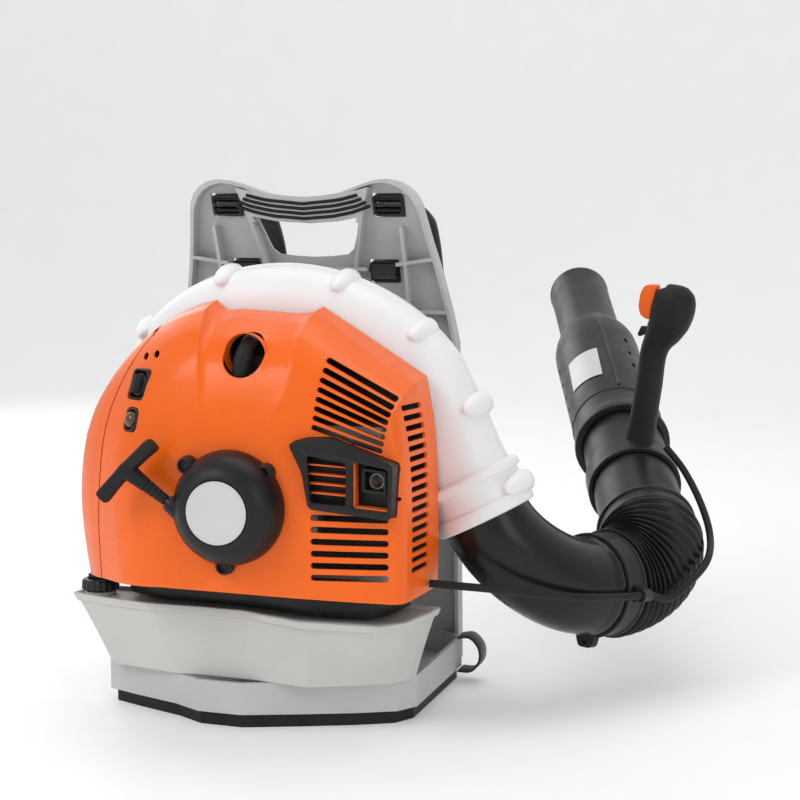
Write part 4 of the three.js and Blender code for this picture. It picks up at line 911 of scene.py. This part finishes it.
def elbow():
    outer, inner = [], []
    outer.append(circle(OUTLET - 22 * OUTLET_DIR, OUTLET_DIR, 43, 64, BACK))
    inner.append(circle(OUTLET - 22 * OUTLET_DIR, OUTLET_DIR, 40, 64, BACK))
    for t in np.linspace(0, 1, 40):
        step = 1.6 if 0.955 < t else 0
        outer.append(bend_ring(t, 43 + 5 * t + step, 64, ELBOW_BEND, BACK.lerp(UP, t)))
        inner.append(bend_ring(t, 40 + 4 * t, 64, ELBOW_BEND, BACK.lerp(UP, t)))
    for s, r in ((2, 49.6), (3, 48), (26, 48)):
        outer.append(circle(ELBOW_END + s * ELBOW_DIR, ELBOW_DIR, r, 64))
        inner.append(circle(ELBOW_END + s * ELBOW_DIR, ELBOW_DIR, 44, 64))
    put(loft("elbow_pipe", [*outer, *inner[::-1]], looped=True), "machine", GLOSSY_BLACK, "black_plastic",
        ["elbow"], 30)


def lower_clamp():
    start = ELBOW_END + 4 * ELBOW_DIR
    band = turned("hose_clamp_lower_band", [(49, 0), (51.6, 0), (52.6, 1), (52.6, 4), (51.4, 5), (51.4, 24),
        (52.6, 25), (52.6, 28), (51.6, 29), (49, 29)],
                  start, ELBOW_DIR, 96)
    down = (-UP + ELBOW_DIR * ELBOW_DIR.dot(UP)).normalized()
    side = down.cross(ELBOW_DIR)
    tab_ring = lambda s: [start + down * (47 + a) + side * b + ELBOW_DIR * s for a,
        b in rounded([(0, -12), (6, -11), (15, -8), (15, 8), (6, 11), (0, 12)], 5, 6)]
    tab = loft("c", [tab_ring(1), tab_ring(1.6), tab_ring(9.4), tab_ring(10)])
    cut(tab, [rod("c", start + down * 56 - ELBOW_DIR * 5, ELBOW_DIR, 30, 2.6, 24)])
    tab.name = "clamp_tab"
    put(tab, "machine", BLACK, "black_plastic", angle=40)
    put(band, "machine", BLACK, "black_plastic", ["hose_clamp_lower"], 30)


def hose_half(name, t0, t1, count, replaced):
    outer, inner = [], []
    for t in np.linspace(t0, t1, count):
        wave = 0.5 + 0.5 * math.cos(2 * math.pi * PLEATS * t + math.pi)
        lip = 1 if t > 0.02 and t < 0.98 else 0
        outer.append(bend_ring(t, 49.8 + 5.4 * lip * wave ** 0.8, 72, HOSE_BEND))
        inner.append(bend_ring(t, 44 + 4.2 * lip * wave, 72, HOSE_BEND))
    piece = loft(name, [*outer, *inner[::-1]], looped=True)
    shade(piece, 70)
    piece.data.materials.append(HOSE_RUBBER)
    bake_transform(piece)
    if replaced:
        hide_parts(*replaced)


elbow()
lower_clamp()
hose_half("pleated_hose_lower", 0.0, 0.5, 79, ["pleated_hose"])
hose_half("pleated_hose_upper", 0.5, 1.0, 79, [])


# ---- tubes ----
def tubes():
    def ring(name, profile, body, mat, slot, replaced, angle=30, sides=96):
        return put(turned(name, profile, HOSE_END, TUBE_DIR, sides), body, mat, slot, replaced, angle)

    ring("hose_clamp_upper_band", [(46.3, 0.3), (51.4, 0.3), (53, 1.4), (53, 5), (51, 6.4), (51, 18.6),
        (53, 20), (53, 23.6), (51.6, 24.6), (46.3, 24.6)],
         "tube", BLACK, "black_plastic", ["hose_clamp_upper"])
    ring("handle_tube_pipe", [(43, 3), (46, 3), (46, 29), (47.2, 30), (47.2, 33), (46, 34), (46, 140),
        (46.9, 141), (46.9, 144), (46, 145), (46, 234), (45, 235), (43, 235)],
         "tube", BLACK, "black_plastic", ["handle_tube"])
    sleeve = turned("coupling_sleeve_shell", [(47, 205), (52.6, 205), (54.4, 206), (54.8, 210), (54.2, 216),
        (52.6, 222), (51.6, 230), (51.6, 252), (52.4, 253), (52.6, 256),
                    (51.8, 257), (51.8, 330), (52.2, 400), (52.2, 440), (51.6, 452), (49.6, 463), (47, 471),
                    (46.2, 474), (44.4, 482), (43, 488), (41.6, 489), (38.4, 489), (38.4, 455), (46, 440),
                    (47, 400)],
                    HOSE_END, TUBE_DIR, 128)
    right, up, _ = axes_for(TUBE_DIR)
    up = right.cross(TUBE_DIR)

    def face(angle):
        return right * math.cos(math.radians(angle)) - up * math.sin(math.radians(angle))

    def point(s, angle, r):
        return along_tube(s) + face(angle) * r

    slots = []
    for s, length in ((398, 10), (362, 8), (328, 10), (296, 8), (262, 10)):
        for k in range(3):
            n = face(181 + 120 * k)
            slots.append(block_at("c", point(s, 181 + 120 * k, 52.4), TUBE_DIR, n.cross(TUBE_DIR), n,
                (length, 4.5, 5)))
    cut(sleeve, slots)
    put(sleeve, "front_tube", BLACK, "black_plastic", ["coupling_sleeve"], 30)
    label_rows = []
    for f in np.linspace(0, 1, 7):
        label_rows.append([point((300 - 7 * g) * (1 - f) + (367 - 3 * g) * f,
            (206 + 47 * g) * (1 - f) + (209 + 46 * g) * f, 52.7) for g in np.linspace(0, 1, 15)])
    label = loft("blank_label", label_rows, closed=False)
    put(label, "front_tube", SILVER, "badge_silver", angle=40)
    ring("nozzle_pipe", [(35.4, 456), (38, 456), (38, 600), (38.3, 628), (38.8, 636), (39.2, 640), (39, 644),
        (38, 645), (36, 645), (35.4, 643)], "front_tube", BLACK, "black_plastic", ["nozzle"])
    for k in range(3):
        rib = sweep(f"sleeve_rib_{k + 1}", [point(s, 150 + 120 * k, 52.2) for s in (262, 300, 360, 420, 446)],
            1.6, 10, 20)
        put(rib, "front_tube", BLACK, "black_plastic", angle=60)


tubes()


# ---- control handle ----
RING_CENTRE = along_tube(RING_STATION)


def grip(front, up, side=0.0):
    return RING_CENTRE + GRIP_FRONT * front + GRIP_UP * up + GRIP_SIDE * side


def handle():
    sections = smooth_curve([(46, 0, 17, 16), (70, 0, 15, 14), (110, 0, 14.5, 13.5), (150, 0, 15, 13.5),
        (164, -6, 19, 15), (180, -11, 22.5, 18), (200, -13, 24, 19), (214, -13, 21, 17), (222, -13, 13, 10)],
        48)
    rings = [[grip(m + h * signed_power(math.cos(t), 0.85), u, s * signed_power(math.sin(t), 0.85))
              for t in turn(48)] for u, m, h, s in sections]
    last = sections[-1]
    rings.append([grip(last[1] + last[2] * 0.6 * math.cos(t), last[0] + 1.6, last[3] * 0.6 * math.sin(t))
        for t in turn(48)])
    body = loft("control_handle_body", rings)
    clear = rod("c", HOSE_END, TUBE_DIR, 230, 47, 64)
    cut(body, [clear, block_at("c", grip(13, TRIGGER_AT), GRIP_SIDE, GRIP_UP, GRIP_FRONT, (20, 46, 34)),
               block_at("c", grip(13, LEVER_AT), GRIP_SIDE, GRIP_UP, GRIP_FRONT, (5, 18, 14))])
    soften(body, 0.9, 2, 45)
    put(body, "handle", SOFT_RUBBER, "black_plastic", ["control_handle"], 35)
    clamp = turned("handle_clamp_ring", [(46.9, -15), (50.4, -15), (51.2, -14), (51.2, 14), (50.4, 15),
        (46.9, 15)], RING_CENTRE, TUBE_DIR, 96)
    put(clamp, "handle", BLACK, "black_plastic", angle=30)
    for u, f in ((186, -18), (206, -22), (120, 0), (80, 0)):
        at = grip(f, u, 17.4 if u > 150 else 13)
        seat = turned(f"handle_screw_{u}", [(0.1, 0), (3.6, 0), (4, 0.4), (4, 1.4), (3.4, 1.8), (2.2, 1.8),
            (2, 0.8), (0.1, 0.8)], at, GRIP_SIDE, 28)
        put(seat, "handle", STEEL, "steel")
    outline = rounded([(7, -19), (13, -20), (20, -17), (24, -8), (24, 8), (20, 17), (7, 19)], 5, 5)
    trigger = loft("throttle_trigger_body", [[grip(f, TRIGGER_AT + u, side) for f, u in outline]
        for side in (-9, 9)])
    soften(trigger, 1.6, 3, 40)
    put(trigger, "trigger", CONTROL_ORANGE, "orange_control", ["throttle_trigger"], 40)
    lever_line = rounded([(11.5, -4), (19, -9), (22, -7), (19, 3), (11.5, 4)], 1.5, 4)
    lever = loft("setting_lever_body", [[grip(f, LEVER_AT + u, side) for f, u in lever_line]
        for side in (-2, 2)])
    soften(lever, 0.5, 2, 40)
    put(lever, "setting_lever", BLACK, "black_plastic", ["setting_lever"], 40)


handle()

# ---- throttle cable ----
CLIP_OUT = unit(0.875, -0.484, -0.02)
CLIP_AT = ELBOW_END + 19 * ELBOW_DIR + 60 * CLIP_OUT


def cable_piece(name, points, replaced, blended=None):
    line = smooth_curve(points, 64)
    piece = sweep(name, points, CABLE_RADIUS, 16, 64)
    shade(piece, 60)
    piece.data.materials.append(SOFT_RUBBER)
    if blended:
        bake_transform(piece)
    else:
        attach(piece, "machine")
    if replaced:
        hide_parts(replaced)


def throttle_cable():
    lower = [V(178.6, -70, 140), V(192, -68, 139), V(222, -58, 136), V(262, -38, 130), V(302, -8, 122),
        V(338, 36, 115), CLIP_AT - 12 * ELBOW_DIR, CLIP_AT + 8 * ELBOW_DIR]
    cable_piece("throttle_cable_lower", lower, "throttle_cable")
    points = [CLIP_AT + 9 * ELBOW_DIR]
    for t, angle in ((0.2, -8), (0.45, -4), (0.7, 2), (1, 8)):
        point, along = between(t, *HOSE_BEND)
        right = along.cross(UP).normalized()
        a = math.radians(angle)
        points.append(point + right * (63 * math.cos(a)) + right.cross(along) * (63 * math.sin(a)))
    right = TUBE_DIR.cross(UP).normalized()
    for s, angle, r in ((50, 22, 62), (84, 42, 60), (98, 64, 64)):
        a = math.radians(angle)
        points.append(along_tube(s) + right * (r * math.cos(a)) + right.cross(TUBE_DIR) * (r * math.sin(a)))
    line = smooth_curve(points, 120)
    middle = min(range(120), key=lambda i: (line[i] - HOSE_MIDDLE).length)
    first, second = line[:middle + 1], line[middle:]
    cable_piece("throttle_cable_hose_lower", first, "throttle_cable_upper",
        ("machine", "hose", HOSE_START * MM, HOSE_MIDDLE * MM))
    cable_piece("throttle_cable_hose_upper", second, None, ("hose", "tube", HOSE_MIDDLE * MM, HOSE_END * MM))


throttle_cable()


# ---- pads and straps ----
def cushion(name, x0, x1, y0, y1, z0, z1, node, seams):
    """A sewn pad: a slab with rounded corners, inflated as cloth, and drawn in along its stitched lines."""
    depth = (y1 - y0) * 0.42
    middle = (y0 + y1) / 2
    outline = rounded([(x0, z0), (x1, z0), (x1, z1), (x0, z1)], 26, 10)
    slab = prism(name, outline, middle - depth / 2, middle + depth / 2)
    remesh = slab.modifiers.new("remesh", "REMESH")
    remesh.mode, remesh.voxel_size = "VOXEL", 0.0055
    baked(slab)
    start = [v.co.copy() for v in slab.data.vertices]
    cloth = slab.modifiers.new("cloth", "CLOTH")
    cloth.settings.use_pressure = True
    cloth.settings.uniform_pressure_force = 4
    cloth.settings.effector_weights.gravity = 0
    cloth.point_cache.frame_start, cloth.point_cache.frame_end = 1, 20
    scene = bpy.context.scene
    for number in range(1, 21):
        scene.frame_set(number)
    baked(slab)
    scene.frame_set(1)
    for v, s in zip(slab.data.vertices, start):
        move = v.co - s
        v.co = s + (move if move.length < 0.008 else move.normalized() * 0.008)
        groove = sum(math.exp(-((v.co.z / MM - z) / 3.5) ** 2) for z in seams)
        v.co.y = middle * MM + (v.co.y - middle * MM) * (1 - 0.5 * min(1, groove))
        v.co.y = min(max(v.co.y, y0 * MM), y1 * MM)
    smoother = slab.modifiers.new("smoother", "SUBSURF")
    smoother.levels = smoother.render_levels = 1
    baked(slab)
    put(slab, "machine", MESH_CLOTH, "soft_rubber", [node], 60)


cushion("back_pad_cushion", -94, 94, 146, 168, 218, 398, "back_pad", (262, 308, 354))
cushion("hip_pad_cushion", -103, 103, 152, 174, 72, 168, "hip_pad", (120,))

STRAP_PATH = [(86, 492), (112, 494), (144, 488), (178, 455), (198, 400), (203, 340), (194, 280), (178, 228),
    (160, 196)]
for side, tag in ((-1, "left"), (1, "right")):
    full = lambda t: max(0.0, min(1.0, (t - 0.12) / 0.1, (0.86 - t) / 0.1))
    whole = strap(f"shoulder_strap_{tag}_body", STRAP_PATH, lambda t: 14 + 16 * full(t) ** 0.6,
        lambda t: 1.6 + 4.6 * full(t) ** 0.6, 90,
                  mat=MESH_CLOTH, x=side * 88, superness=0.55)
    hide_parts(f"shoulder_strap_{tag}")
    loop_path = [(160, 47), (172, 48), (182, 38), (183, 24), (174, 13), (160, 12)]
    line = smooth_curve(loop_path, 40)
    rings = []
    for i, p in enumerate(line):
        d = (line[min(i + 1, 39)] - line[max(i - 1, 0)]).normalized()
        rings.append([V(side * (p[0] - d[1] * v), 112 + u, p[1] + d[0] * v) for u,
            v in ((-12, -0.9), (-11.6, -1.2), (11.6, -1.2), (12, -0.9), (12, 0.9), (11.6, 1.2), (-11.6, 1.2),
            (-12, 0.9))])
    loop = loft(f"webbing_loop_{tag}_band", rings)
    put(loop, "machine", WEBBING, "webbing", [f"webbing_loop_{tag}"], 40)

# ---- moulded and machined pieces kept from the CAD get rounded edges ----
WIDTHS = {"back_frame": 1.4, "sole": 1.5, "intake_grille": 0.8, "fan_wheel": 0.5, "cable_clip": 0.6,
    "crankcase": 1.0, "cylinder": 0.6, "muffler": 1.5,
          "rocker_cover": 1.2, "carburettor": 0.8, "air_filter": 1.0, "ignition_module": 0.8}
for name, width in WIDTHS.items():
    bevel = frame["nodes"][name].modifiers.new("edges", "BEVEL")
    bevel.width, bevel.segments, bevel.limit_method = width * MM, 2, "ANGLE"
    bevel.angle_limit = math.radians(35)
    bevel.use_clamp_overlap = True

# ---- floor, light and camera ----
def studio():
    bend = [(2500 + 1500 * math.sin(t), 1500 - 1500 * math.cos(t)) for t in np.linspace(0, math.pi / 2, 24)]
    profile = [(-15000, 0), (-1500, 0), *bend, (4000, 9000)]
    floor = loft("floor", [[V(x, y, z) for y, z in profile] for x in (-15000, 15000)], closed=False)
    floor.data.materials.append(material("floor_paint", (0.82, 0.82, 0.81), 0.6, bump=0.02, vary=0.01))
    glow = floor.data.materials[0].node_tree.nodes["Principled BSDF"].inputs
    glow["Emission Color"].default_value = (1, 1, 1, 1)
    glow["Emission Strength"].default_value = 0.2
    shade(floor, 60)
    world = bpy.data.worlds.new("studio")
    world.use_nodes = True
    world.node_tree.nodes["Background"].inputs["Color"].default_value = (0.95, 0.96, 1.0, 1)
    world.node_tree.nodes["Background"].inputs["Strength"].default_value = 0.62
    bpy.context.scene.world = world
    bpy.context.scene.view_settings.view_transform = "Standard"

    def lamp(name, at, to, size, power, color=(1, 1, 1)):
        light = bpy.data.lights.new(name, "AREA")
        light.shape, light.energy, light.color = "RECTANGLE", power, color
        light.size, light.size_y = size
        obj = bpy.data.objects.new(name, light)
        obj.location = at
        obj.rotation_mode = "QUATERNION"
        obj.rotation_quaternion = (Vector(to) - Vector(at)).to_track_quat("-Z", "Y")
        bpy.context.collection.objects.link(obj)

    lamp("key", (-1.3, -1.9, 2.0), (0.05, 0.0, 0.25), (1.2, 1.2), 21)
    lamp("fill", (2.2, -1.6, 1.2), (0.15, 0.0, 0.2), (1.0, 1.6), 8)
    lamp("top", (0.2, 0.5, 2.4), (0.1, 0.1, 0.2), (2.0, 1.2), 13)
    lamp("back", (-1.6, 1.8, 1.2), (0.1, 0.2, 0.2), (1.2, 1.2), 8)


studio()
camera = bpy.data.cameras.new("camera")
camera.lens, camera.sensor_width = 82.6, 36
eye = bpy.data.objects.new("camera", camera)
eye.location = (0.6465, -1.6947, 0.4969)
eye.rotation_euler = (math.radians(83.78), 0, math.radians(17))
bpy.context.collection.objects.link(eye)
bpy.context.scene.camera = eye
